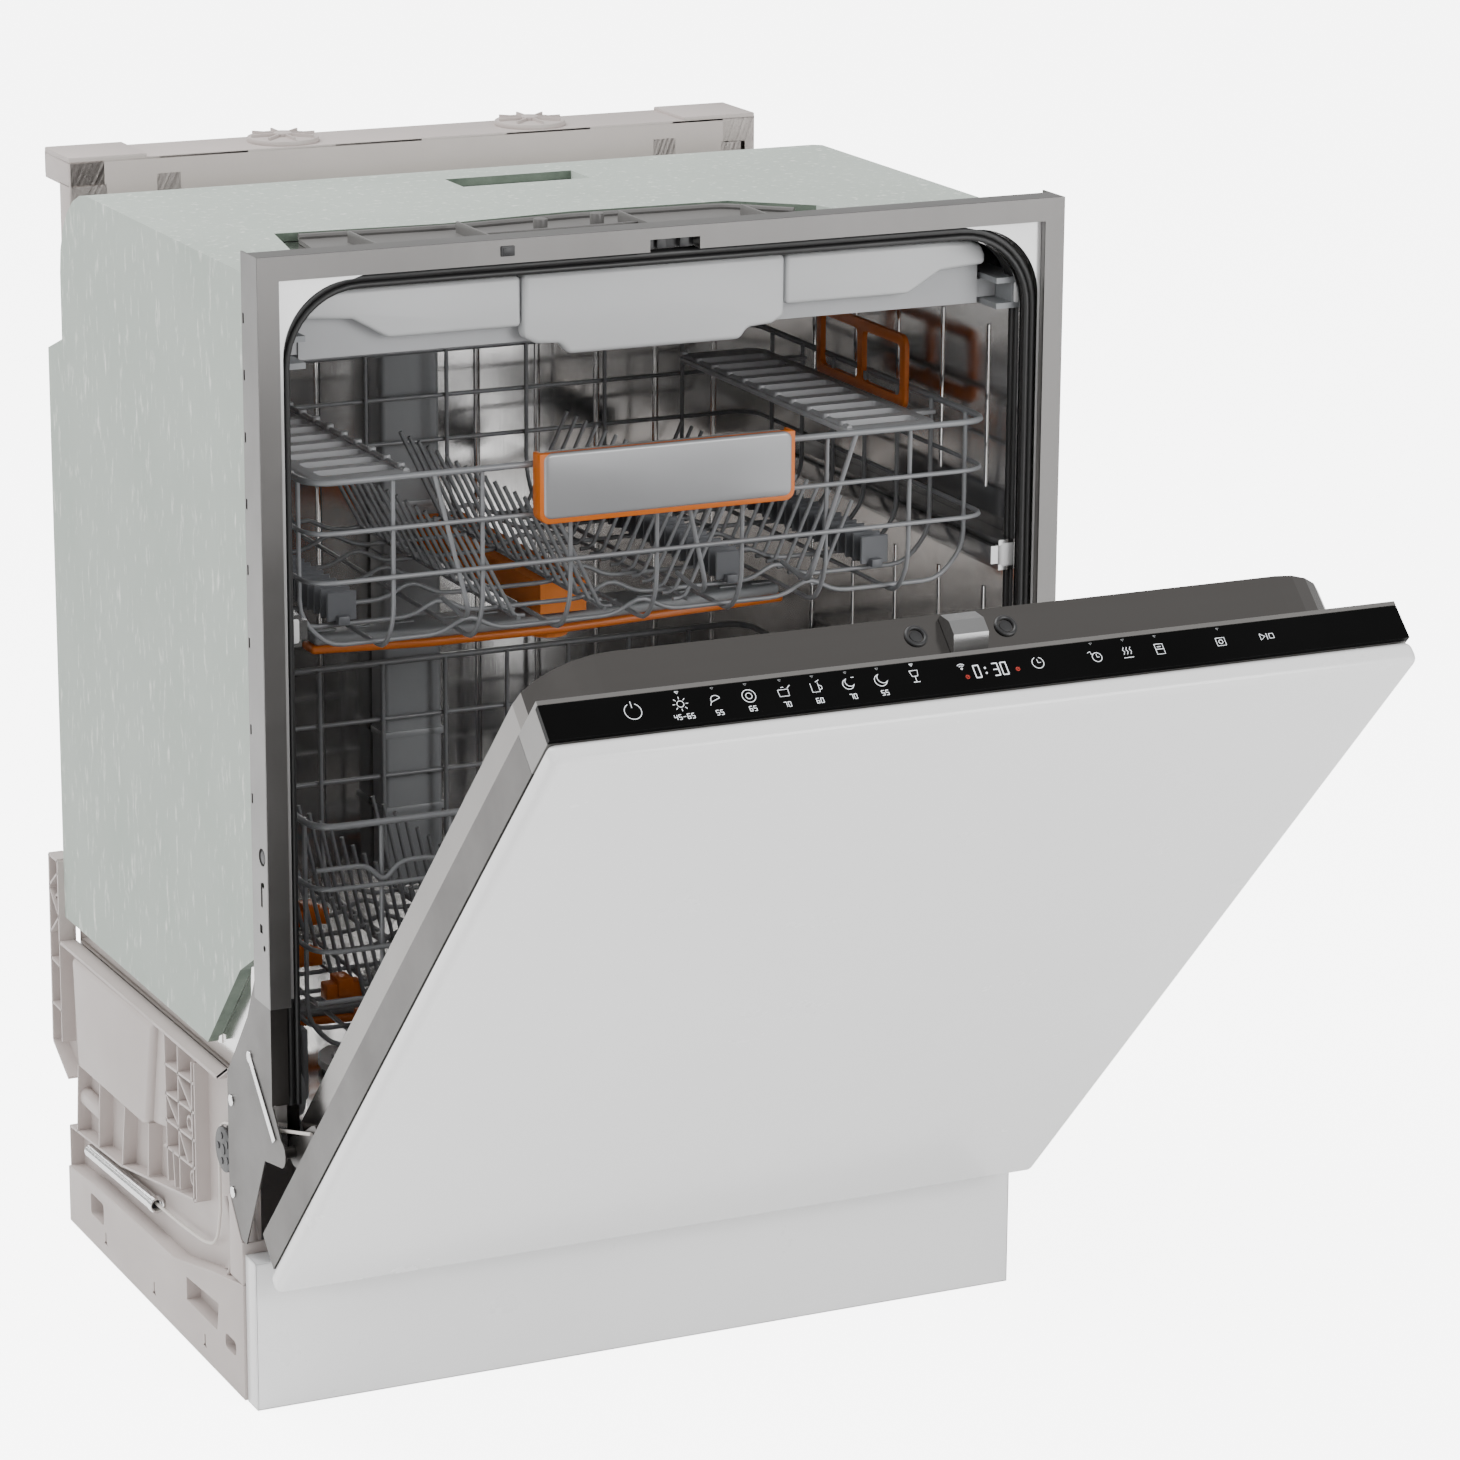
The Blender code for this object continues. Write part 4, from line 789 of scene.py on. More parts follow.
# %% Rear brace
brace_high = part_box("rear_brace")[1]
half, top = brace_high.x, brace_high.z
back_0, back_1 = 0.4536, brace_high.y - front_y
mid_y = (back_0 + back_1) / 2
skin = 0.0020
parts = [block(-half, half, back_0, back_0 + skin, top - 0.0440, top - 0.0030, 0.0005),
         block(-half, half, back_1 - skin, back_1, top - 0.0200, top - 0.0030, 0.0005),
         block(-half, half, back_0, back_1, top - 0.0055, top - 0.0032, 0.0005)]
for i in range(23):
    x = -half + 0.0245 * i + 0.004
    parts.append(block(x, x + 0.0018, back_0 + skin, back_1 - skin, top - 0.0195, top - 0.0050, 0.0004))
for side, word in SIDES:
    inner, outer = half - 0.060, half
    parts.append(block(*side_span(side, inner, outer), back_0, back_1, top - 0.0042, top - 0.0005, 0.0010))
    parts.append(block(*side_span(side, outer - 0.028, outer), back_0, back_1, top - 0.0232,
                       top - 0.0030, 0.0010))
    parts.append(block(*side_span(side, outer - 0.0300, outer), back_0, back_0 + 0.0240, 0.7420,
                       top - 0.0200, 0.0014))
    leg = [(back_0, 0.805), (back_0, 0.735), (0.4274, 0.735), (0.4274, 0.715), (back_0 + 0.004, 0.715),
           (back_0 + 0.004, 0.805)]
    parts.append(plate("X", leg, *side_span(side, 0.190, 0.210), 0.0008))
for x in (-0.100, 0.100):
    dome = rod("Z", x, mid_y, 0.0270, top - 0.0040, top + 0.0008, 40, 0.0016)
    hub = rod("Z", x, mid_y, 0.0070, top - 0.0030, top + 0.0036, 20, 0.0008)
    spokes = []
    for k in range(8):
        a = math.radians(45 * k)
        cx, cy = x + 0.015 * math.cos(a), mid_y + 0.015 * math.sin(a)
        spoke = block(cx - 0.010, cx + 0.010, cy - 0.0007, cy + 0.0007, top - 0.0022, top + 0.0030)
        only(spoke)
        bpy.ops.transform.rotate(value=-a, orient_axis="Z", center_override=(cx, cy, top))
        spokes.append(spoke)
    parts += [dome, hub, *spokes]
brace = finished(join(*parts), "brace_beam", "cabinet", beige_plastic,
                 replaces=["rear_brace"])
print("brace", len(brace.data.polygons), "faces")

# %% [markdown]
# ## Door panel and kick plate
#
# The furniture panel is a thick lacquered board.  A rounded edge all round is
# what makes it read as a board: it catches a thin line of light.  The kick plate
# below is sheet metal with its edges folded back.

# %% Door panel and kick plate
panel = block(-0.2962, 0.2962, -0.0625, -0.0463, -0.0940, 0.6085, 0.0058, 5)
door_panel = finished(panel, "door_panel", "door", white_lacquer, DOOR,
                      replaces=["furniture_panel"])
kick_low, kick_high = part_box("kick_plate")
kick_front, kick_back = kick_low.y - front_y, kick_high.y - front_y
kick_half, kick_sheet = kick_high.x, 0.0016
face = block(-kick_half, kick_half, kick_front, kick_front + kick_sheet, kick_low.z, kick_high.z, 0.0007)
folds = [block(*side_span(side, kick_half - kick_sheet, kick_half), kick_front, kick_back,
               kick_low.z, kick_high.z, 0.0006) for side, word in SIDES]
folds += [block(-kick_half, kick_half, kick_front, kick_back, kick_high.z - kick_sheet, kick_high.z, 0.0006),
          block(-kick_half, kick_half, kick_front, kick_back, kick_low.z, kick_low.z + kick_sheet, 0.0006)]
kick = finished(join(face, *folds), "kick_sheet", "cabinet", kick_lacquer,
                replaces=["kick_plate"])
print("panel and kick plate", len(door_panel.data.polygons) + len(kick.data.polygons), "faces")

# %% [markdown]
# ## Door liner, striker and plugs
#
# The inner door is one deep-drawn steel pan, so its own shape is kept.  Two round
# plugs sit beside the striker, each with a thin ring round it.

# %% Door liner details
# The liner's dark steel colour is painted shade for its dark reflections.
paint("door_liner", door_steel_painted_shade)
paint("door_striker", slide_steel)
paint("control_housing", housing_plastic)
rings = []
for x in (-0.031, 0.031):
    circle = [(x + u, v, 0.5946) for u, v in arc(0, 0.0045, 0.0062, 0, 360, 28)[:-1]]
    rings.append(wires([circle], 0.0013, 3, closed=True))
    rings.append(rod("Z", x, 0.0045, 0.0042, 0.5938, 0.5946, 20, 0.0003))
plugs = finished(join(*rings), "liner_plugs", "door", dark_plastic, DOOR)
print("liner details", len(plugs.data.polygons), "faces")

# %% [markdown]
# ## Control strip symbols
#
# The touch symbols are drawn as thin raised lines on the glass: rings, rays,
# triangles and seven-stroke digits.  Each drawing returns paths in millimetres
# around its own middle, and one step turns them into wires.

# %% Symbol drawings
STROKES = {"a": ((0, 2), (1, 2)), "b": ((1, 2), (1, 1)), "c": ((1, 1), (1, 0)), "d": ((1, 0), (0, 0)),
           "e": ((0, 0), (0, 1)), "f": ((0, 1), (0, 2)), "g": ((0, 1), (1, 1))}
DIGITS = {"0": "abcdef", "3": "abgcd", "4": "fgbc", "5": "afgcd", "6": "afgedc", "7": "abc", "-": "g"}


def number(text, wide, high, gap):
    """Seven-stroke digits, centred on the origin."""
    total = len(text) * wide + (len(text) - 1) * gap
    paths = []
    for i, mark in enumerate(text):
        left = i * (wide + gap) - total / 2
        paths += [[(left + u * wide, (v - 1) * high / 2) for u, v in STROKES[s]] for s in DIGITS[mark]]
    return paths


def ring(radius, u=0.0, v=0.0, start=0, end=360):
    """A circle or part of one."""
    return [arc(u, v, radius, start, end, 20)]


def rays(inner, outer, count):
    """Short lines round the middle."""
    turns = [2 * math.pi * k / count for k in range(count)]
    return [[(inner * math.cos(a), inner * math.sin(a)), (outer * math.cos(a), outer * math.sin(a))]
            for a in turns]


SYMBOLS = {
    "power": ring(3.6, start=115, end=425) + [[(0, 1.6), (0, 4.6)]],
    "sun": ring(1.4) + rays(2.2, 3.2, 8),
    "leaf": ring(2.0, start=20, end=200) + [[(1.9, 0.7), (-1.9, -0.7), (-2.8, -2.2)]],
    "plate": ring(2.8) + ring(1.3),
    "pot": [[(-2.2, 1.0), (-2.0, -2.0), (2.0, -2.0), (2.2, 1.0), (-2.2, 1.0)], [(2.0, 1.4), (3.4, 2.6)],
            [(-0.6, 2.0), (0.6, 2.0)]],
    "glass": [[(-1.8, 2.6), (-1.2, 0.0), (1.2, 0.0), (1.8, 2.6), (-1.8, 2.6)], [(0, 0), (0, -2.4)],
              [(-1.4, -2.6), (1.4, -2.6)]],
    "moon": [arc(0, 0, 2.6, 110, 340, 16) + arc(1.1, 1.0, 2.3, 325, 128, 12)],
    "night": [arc(-0.4, 0, 2.3, 110, 340, 16) + arc(0.6, 0.9, 2.0, 325, 128, 12), [(1.6, 2.8), (2.8, 2.8)]],
    "cup": [[(-1.8, 2.2), (-1.8, -1.8), (1.4, -1.8), (1.4, 2.2)],
            [(1.4, 1.2), (2.6, 0.6), (2.6, -0.6), (1.4, -1.0)], [(0.6, 2.6), (2.2, 3.4)]],
    "signal": ring(0.5) + ring(1.8, start=45, end=135) + ring(3.0, start=45, end=135),
    "clock": ring(2.6, start=-250, end=70) + [[(0, 1.6), (0, 0), (1.3, 0)]],
    "timer": ring(2.3, 0.8, -0.4) + [[(0.8, 1.0), (0.8, -0.4), (1.9, -0.4)],
                                     [(-3.2, 2.2), (-1.8, 2.8), (-1.4, 1.2)]],
    "steam": [[(-2.4, -2.4), (2.4, -2.4)], [(-1.8, -0.8), (-1.1, 0.6), (-1.8, 1.6), (-1.1, 2.8)],
              [(-0.1, -0.8), (0.6, 0.6), (-0.1, 1.6), (0.6, 2.8)],
              [(1.6, -0.8), (2.3, 0.6), (1.6, 1.6), (2.3, 2.8)]],
    "half": [[(-1.8, 2.6), (-1.8, -2.6), (2.2, -2.6), (2.2, 2.6), (-1.8, 2.6)], [(-1.8, 0), (2.2, 0)],
             [(-0.8, 1.2), (1.2, 1.2)]],
    "tab": [[(-2.2, 2.0), (-2.2, -2.0), (2.2, -2.0), (2.2, 2.0), (-2.2, 2.0)]] + ring(1.0),
    "start": [[(-3.0, 1.6), (-0.6, 0), (-3.0, -1.6), (-3.0, 1.6)], [(0.4, 1.6), (0.4, -1.6)],
              [(1.6, 1.2), (1.6, -1.2), (3.8, -1.2), (3.8, 1.2), (1.6, 1.2)]],
    "mark": [[(-1.3, 0.8), (1.3, 0.8), (0, -0.9), (-1.3, 0.8)]],
    "dot": ring(1.3) + [[(-0.5, -0.5), (0.5, 0.5)]],
}
print(len(SYMBOLS), "symbols")

# %% [markdown]
# Now the drawings go on the strip.  Programmes stand in the left half with their
# temperatures under them, the time left is in the middle, options to the right.

# %% Strip print
strip_top = 0.6095
mark_y, value_y, clock_y = -0.0238, -0.0406, -0.0336


def printed(name, marks, thick, look):
    """Wires on the glass: (drawing, x, y, size) for each mark."""
    paths = []
    for drawing, x, y, size in marks:
        paths += [[(x + u * size / 1000, y + v * size / 1000, strip_top) for u, v in path]
                  for path in drawing]
    return finished(wires(paths, thick, 1), name, "door", look, DOOR, angle=60)


programmes = (("sun", -0.2059), ("leaf", -0.1829), ("plate", -0.1611), ("pot", -0.1384), ("cup", -0.1169),
              ("night", -0.0946), ("moon", -0.0734), ("glass", -0.0502))
marks = [(SYMBOLS["power"], -0.2369, -0.0330, 1.50)]
marks += [(SYMBOLS[name], x, -0.0318, 1.55) for name, x in programmes]
marks += [(SYMBOLS["mark"], x, mark_y, 0.9) for x in (-0.2059, -0.0502)]
marks += [(SYMBOLS["signal"], -0.0180, -0.0305, 1.1), (SYMBOLS["clock"], 0.0337, -0.0325, 1.5)]
options = (("timer", 0.0734), ("steam", 0.0959), ("half", 0.1185), ("tab", 0.1623), ("start", 0.1948))
marks += [(SYMBOLS[name], x, -0.0330, 1.40) for name, x in options]
values = (("45-65", -0.2059), ("55", -0.1829), ("65", -0.1611), ("70", -0.1384), ("60", -0.1169),
          ("70", -0.0946), ("55", -0.0734))
marks += [(number(text, 1.70, 3.3, 1.10), x, value_y, 1.0) for text, x in values]
printed("strip_symbols", marks, 0.00022, bright_print)
small = [(SYMBOLS["mark"], x, mark_y, 0.75) for name, x in programmes[1:-1]]
small += [(SYMBOLS["mark"], x, mark_y, 0.75) for x in (0.0734, 0.0959, 0.1185, 0.1632)]
printed("strip_marks", small, 0.00020, dim_print)
time_left = [(number("0", 3.6, 8.6, 0), -0.0085, clock_y, 1.0),
             (number("30", 3.6, 8.6, 2.2), 0.0072, clock_y, 1.0)]
time_left += [(ring(0.35), -0.0026, -0.0318, 1.0), (ring(0.35), -0.0026, -0.0354, 1.0)]
printed("strip_time", time_left, 0.00036, bright_print)
dots = [(SYMBOLS["dot"], -0.0160, -0.0366, 0.9), (SYMBOLS["dot"], 0.0189, -0.0352, 0.9)]
printed("strip_lamps", dots, 0.00030, red_print)
print("strip", len(marks + small + time_left + dots), "marks")

# %% [markdown]
# ## Basket wires
#
# Both baskets are welded from coated wire.  Rims run right round, cross wires go
# down one side, under the load and up the other, and tines stand on the floor.
# Every corner is bent, never sharp, because a wire can't fold.

# %% Basket wire helper
def loop(half, front, back, z, corner=0.022):
    """A closed rim path."""
    around = [(-half, front, z), (half, front, z), (half, back, z), (-half, back, z)]
    return bends(around, corner, 5, closed=True)


def basket(half, front, back, rims, floor_z, lengths, crosses, thick, dips):
    """Rims, cross wires and lengthwise wires of one basket."""
    rim_wires = [loop(half, front, back, z) for z in rims]
    parts = [wires(rim_wires[:1], thick * 1.35, 3, closed=True), wires(rim_wires[1:], thick, 2, closed=True)]
    top, paths = rims[0], []
    inner = half - 2 * thick
    for y in crosses:
        path = [(-inner, y, top), (-inner, y, floor_z + 0.022), (-inner + 0.020, y, floor_z)]
        for x in dips:
            path += [(x - 0.020, y, floor_z), (x, y, floor_z + 0.012), (x + 0.020, y, floor_z)]
        path += [(inner - 0.020, y, floor_z), (inner, y, floor_z + 0.022), (inner, y, top)]
        paths.append(bends(path, 0.012, 3))
    near, far = front + 2 * thick, back - 2 * thick
    for x in lengths:
        low = floor_z - 2 * thick
        path = [(x, near, top), (x, near + 0.001, floor_z + 0.020), (x, near + 0.018, low),
                (x, far - 0.018, low), (x, far, floor_z + 0.020), (x, far, top)]
        paths.append(bends(path, 0.012, 3))
    parts.append(wires(paths, thick, 2))
    return parts


def tines(x, ys, base, lean, rise, thick):
    """A row of standing tines with bent feet, and the wire that holds them."""
    paths = [bends([(x - lean * 0.25, y, base), (x, y, base), (x + lean, y, base + rise)], 0.006, 2)
             for y in ys]
    paths.append([(x, ys[0] - 0.008, base), (x, ys[-1] + 0.008, base)])
    return wires(paths, thick, 2)


print("basket helper ready")

# %% Upper basket
upper_low, upper_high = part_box("upper_rack")
u_half = upper_high.x - 0.0026
u_front, u_back = upper_low.y - front_y + 0.0026, upper_high.y - front_y - 0.0026
u_top, u_floor = upper_high.z - 0.0026, upper_low.z + 0.0090
crosses = [0.055 + 0.0525 * i for i in range(7)]
parts = basket(u_half, u_front, u_back, (u_top, u_top - 0.035, 0.5955), u_floor,
               [-0.195 + 0.065 * i for i in range(7)], crosses, 0.0017, (-0.13, 0.0, 0.13))
places = [0.080 + 0.018 * i for i in range(17)]
for x, lean, rise, thick in ((-0.020, -0.034, 0.070, 0.0016), (-0.085, -0.030, 0.058, 0.0015),
                             (0.045, 0.036, 0.074, 0.0015), (0.150, 0.026, 0.058, 0.0015)):
    parts.append(tines(x, places, u_floor, lean, rise, thick))
braces = []
for x0, x1 in ((-0.1666, -0.1412), (0.0133, 0.0365), (0.1512, 0.1182)):
    braces.append(bends([(x0, u_front, u_top), (x1, u_front + 0.002, u_floor + 0.022),
                         (x1 + 0.005, u_front + 0.020, u_floor + 0.012),
                         (x1, u_front + 0.050, u_floor + 0.020)], 0.01, 3))
parts.append(wires(braces, 0.0018, 2))
upper_wires = finished(join(*parts), "upper_basket_wires", "upper_basket", wire_coat,
                       replaces=["upper_rack"], angle=60)
print("upper basket", len(upper_wires.data.polygons), "faces")

# %% [markdown]
# Rows of plastic teeth hold glasses apart.  Each row is a bar with thin fins, and
# it clips onto the wires of the floor.

# %% Teeth rows in the upper basket
rows = []
for x in (0.090, 0.205, -0.205):
    rows.append(block(x - 0.0045, x + 0.0045, 0.095, 0.345, u_floor + 0.0022, u_floor + 0.0085, 0.0012))
    for i in range(20):
        y = 0.100 + 0.0125 * i
        rows.append(block(x - 0.0110, x + 0.0110, y, y + 0.0018, u_floor + 0.0040, u_floor + 0.0250,
                          0.0008, 1))
teeth = finished(join(*rows), "upper_teeth", "upper_basket", comb_plastic)
print("teeth", len(teeth.data.polygons), "faces")

# %% [markdown]
# ## Handles
#
# The upper handle is a metal-look bar in an orange cradle that shows as a thin
# border at its left, right and lower edges.

# %% Handles
def frame_body(node):
    """The body that a CAD node rides on."""
    bodies = frame["record"]["behaviour"]["bodies"]
    return next(body for body, nodes in bodies.items() if node in nodes)


def framed_handle(name, node):
    """A bar in a coloured cradle, from the CAD handle's box."""
    low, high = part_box(node)
    half, z0, z1 = high.x, low.z, high.z
    y0, y1 = low.y - front_y, high.y - front_y
    edge, corner = 0.0028, 0.0075
    u_shape = [(-half, z1)] + arc(corner - half, z0 + corner, corner, 180, 270, 5)
    u_shape += arc(half - corner, z0 + corner, corner, 270, 360, 5) + [(half, z1)]
    cradle = plate("Y", u_shape, y0 + 0.0012, y1, 0.0010)
    hollow = block(edge - half, half - edge, y0 + 0.006, y1 + 0.01, z0 + edge, z1 + 0.01)
    cradle = carve(cradle, hollow)
    outline = rounded(edge - half, half - edge, z0 + edge + 0.0006, z1, 0.0055)
    bar = plate("Y", outline, y0, y0 + 0.0055, 0.0022, 4)
    roll = block(edge + 0.004 - half, half - edge - 0.004, y0 + 0.003, y1 - 0.001, z1 - 0.0065, z1, 0.0028, 4)
    finished(cradle, name + "_cradle", frame_body(node), orange_plastic, replaces=[node])
    return finished(join(bar, roll), name + "_bar", frame_body(node), handle_plastic)


upper_bar = framed_handle("upper_handle", "upper_handle")
framed_handle("lower_handle", "lower_handle")
print("handles", len(upper_bar.data.polygons), "faces each")

# %% [markdown]
# ## Lift levers and cup shelves
#
# An orange loop on each side unlatches the basket so that it can be lowered.
# Above the side wires, a slatted shelf folds down for cups.

# %% Levers
for side, word in SIDES:
    low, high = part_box("lift_lever_" + word)
    y0, y1 = low.y - front_y, high.y - front_y
    span = (low.x, high.x)
    reach = (low.x - 0.01, high.x + 0.01)
    ring_plate = plate("X", rounded(y0, y1, low.z, high.z, 0.009), *span, 0.0010)
    middle = (y0 + y1) / 2
    windows = [plate("X", rounded(y0 + 0.008, middle - 0.004, low.z + 0.010, high.z - 0.008, 0.005), *reach),
               plate("X", rounded(middle + 0.004, y1 - 0.008, low.z + 0.010, high.z - 0.008, 0.005), *reach)]
    loops = finished(carve(ring_plate, *windows), "lift_loop_" + word, "lever_" + word,
                     orange_plastic, replaces=["lift_lever_" + word])
print("levers", len(loops.data.polygons), "faces each")

# %% Cup shelves
shelf_inner, shelf_outer, slat_pitch = 0.164, 0.237, 0.0268
z0, z1 = 0.6530, 0.6570
for side, word in SIDES:
    x0, x1 = side_span(side, shelf_inner, shelf_outer)
    shelf = plate("Z", rounded(x0, x1, 0.0625, 0.3575, 0.014), z0, z1, 0.0008)
    gaps = [rounded(x0 + 0.009, x1 - 0.009, 0.0765 + slat_pitch * i, 0.0935 + slat_pitch * i, 0.004)
            for i in range(10)]
    shelf = carve(shelf, *[plate("Z", gap, z0 - 0.01, z1 + 0.01) for gap in gaps])
    edge_x = side * (shelf_inner + 0.0045)
    studs = [rod("Z", edge_x, 0.080 + slat_pitch * i, 0.0030, z1 - 0.0005, z1 + 0.0038, 14, 0.0008)
             for i in range(11)]
    rail = wires([bends([(edge_x, 0.070, z1), (edge_x, 0.350, z1)], 0.01)], 0.0022, 3)
    lugs = [block(*side_span(side, 0.2300, 0.2543), y - 0.005, y + 0.005, 0.6535, 0.6565, 0.0006)
            for y in (crosses[1], crosses[5])]
    shelf = finished(join(shelf, rail, *studs, *lugs), "shelf_slats_" + word, "shelf_" + word,
                     shelf_plastic, replaces=["cup_shelf_" + word])
print("shelves", len(shelf.data.polygons), "faces each")

# %% [markdown]
# ## Lower basket
#
# The lower basket is deeper, with two rows of plate tines that can hold plates
# upright, and orange clips low down in the front left corner.

# %% Lower basket
lower_low, lower_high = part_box("lower_rack")
l_half = lower_high.x - 0.0026
l_front, l_back = lower_low.y - front_y + 0.0026, lower_high.y - front_y - 0.0026
l_top, l_floor = lower_high.z - 0.0026, 0.2560
columns = [-0.205 + 0.0512 * i for i in range(9)]
parts = basket(l_half, l_front, l_back, (l_top, 0.380, 0.335), l_floor, columns,
               [0.058 + 0.040 * i for i in range(9)], 0.0018, (-0.10, 0.10))
wave = []
for z in (0.395, 0.300):
    path = [(-l_half, l_front, z)]
    for x in columns:
        path += [(x - 0.012, l_front, z), (x, l_front, z - 0.014), (x + 0.012, l_front, z)]
    wave.append(bends(path + [(l_half, l_front, z)], 0.008, 3))
parts.append(wires(wave, 0.0018, 2))
places = [0.075 + 0.0225 * i for i in range(15)]
for x in (-0.175, -0.115, -0.055, 0.055, 0.115, 0.175):
    lean = math.copysign(0.016, x)
    parts.append(tines(x, places, l_floor + 0.001, lean, 0.072, 0.0016))
lower_wires = finished(join(*parts), "lower_basket_wires", "lower_basket", wire_coat,
                       replaces=["lower_rack"], angle=60)
print("lower basket", len(lower_wires.data.polygons), "faces")

# %% Tine clips and wheel legs
clips = []
for x, y in ((-0.190, 0.085), (-0.190, 0.150), (-0.190, 0.230), (-0.150, 0.320), (0.190, 0.320)):
    clips.append(block(x - 0.014, x + 0.014, y - 0.007, y + 0.007, l_floor + 0.0025, l_floor + 0.0150,
                       0.0018))
    clips.append(block(x - 0.006, x + 0.006, y - 0.009, y + 0.009, l_floor + 0.0060, l_floor + 0.0190,
                       0.0012))
tine_clips = finished(join(*clips), "tine_clips", "lower_basket", orange_plastic)
legs = []
for side, word in SIDES:
    for y in (0.085, 0.335):
        x0, x1 = side_span(side, 0.2425, 0.2470)
        legs.append(block(x0, x1, y - 0.006, y + 0.006, 0.2124, 0.2640, 0.0012))
        legs.append(rod("X", y, 0.2184, 0.0034, *side_span(side, 0.2440, 0.2553), 16, 0.0005))
wheel_legs = finished(join(*legs), "wheel_legs", "lower_basket", grey_plastic)
print("clips and legs", len(tine_clips.data.polygons) + len(wheel_legs.data.polygons), "faces")


# %% [markdown]
# ## Base sides
#
# Each side of the base is one ribbed moulding.  A thin web carries the load, and
# ribs stand out from it: a lattice at the front, a smooth bulge in the middle,
# tall gussets below, a post at the back, and a flush skirt along the floor.

# %% Base sides
WEB_IN, WEB_OUT, RIBS, FACE = 0.2832, 0.2862, 0.2968, 0.2988
SUNK = 0.0003


def rib(side, y0, z0, y1, z1, outer=RIBS, thick=0.0018):
    """A thin wall from the web outward, between two points."""
    run = Vector((y1 - y0, z1 - z0)).normalized() * thick / 2
    across = (-run.y, run.x)
    quad = [(y0 + across[0], z0 + across[1]), (y1 + across[0], z1 + across[1]),
            (y1 - across[0], z1 - across[1]), (y0 - across[0], z0 - across[1])]
    return plate("X", quad, *side_span(side, WEB_OUT - SUNK, outer))


WEB_LINE = [(0.0668, 0.001), (0.4545, 0.001), (0.4545, 0.115), (0.4895, 0.135), (0.4875, 0.2845),
            (0.4672, 0.2845), (0.4672, 0.2200), (0.118, 0.2238), (0.0940, 0.2375), (0.0940, 0.095),
            (0.0668, 0.090)]
SKIRT_LINE = [(0.0668, 0.0002), (0.4545, 0.0002), (0.4545, 0.0450), (0.392, 0.0505), (0.212, 0.0560),
              (0.133, 0.0745), (0.0700, 0.0865), (0.0668, 0.0865)]
LATTICE = [(0.172, 0.112, 0.172, 0.218), (0.201, 0.112, 0.201, 0.221), (0.227, 0.110, 0.229, 0.222),
           (0.166, 0.203, 0.229, 0.199), (0.166, 0.181, 0.229, 0.177), (0.166, 0.160, 0.232, 0.156),
           (0.166, 0.139, 0.234, 0.135), (0.172, 0.181, 0.201, 0.199), (0.201, 0.160, 0.229, 0.177),
           (0.182, 0.139, 0.201, 0.158)]
GUSSETS = [(0.379, 0.135, 0.385, 0.082), (0.322, 0.135, 0.331, 0.086), (0.268, 0.140, 0.272, 0.098),
           (0.215, 0.137, 0.212, 0.110), (0.430, 0.133, 0.436, 0.078)]
POST = [(0.4672, 0.2200, 0.4672, 0.1400), (0.4672, 0.2750, 0.4880, 0.2600), (0.4672, 0.2400, 0.4880, 0.2580),
        (0.4672, 0.2400, 0.4885, 0.2220), (0.4672, 0.2000, 0.4885, 0.2020), (0.4672, 0.1650, 0.4890, 0.1660)]
CHANNEL = [(0.4540, 0.0768, 0.3356, 0.0850), (0.3356, 0.0850, 0.1660, 0.1150),
           (0.1660, 0.1150, 0.1660, 0.2190), (0.4540, 0.0768, 0.4540, 0.0450),
           (0.0950, 0.2375, 0.1180, 0.2238)]
CUPS = ((0.183, 0.168), (0.178, 0.128), (0.475, 0.250))
print(len(LATTICE + GUSSETS + POST + CHANNEL), "ribs on each side")

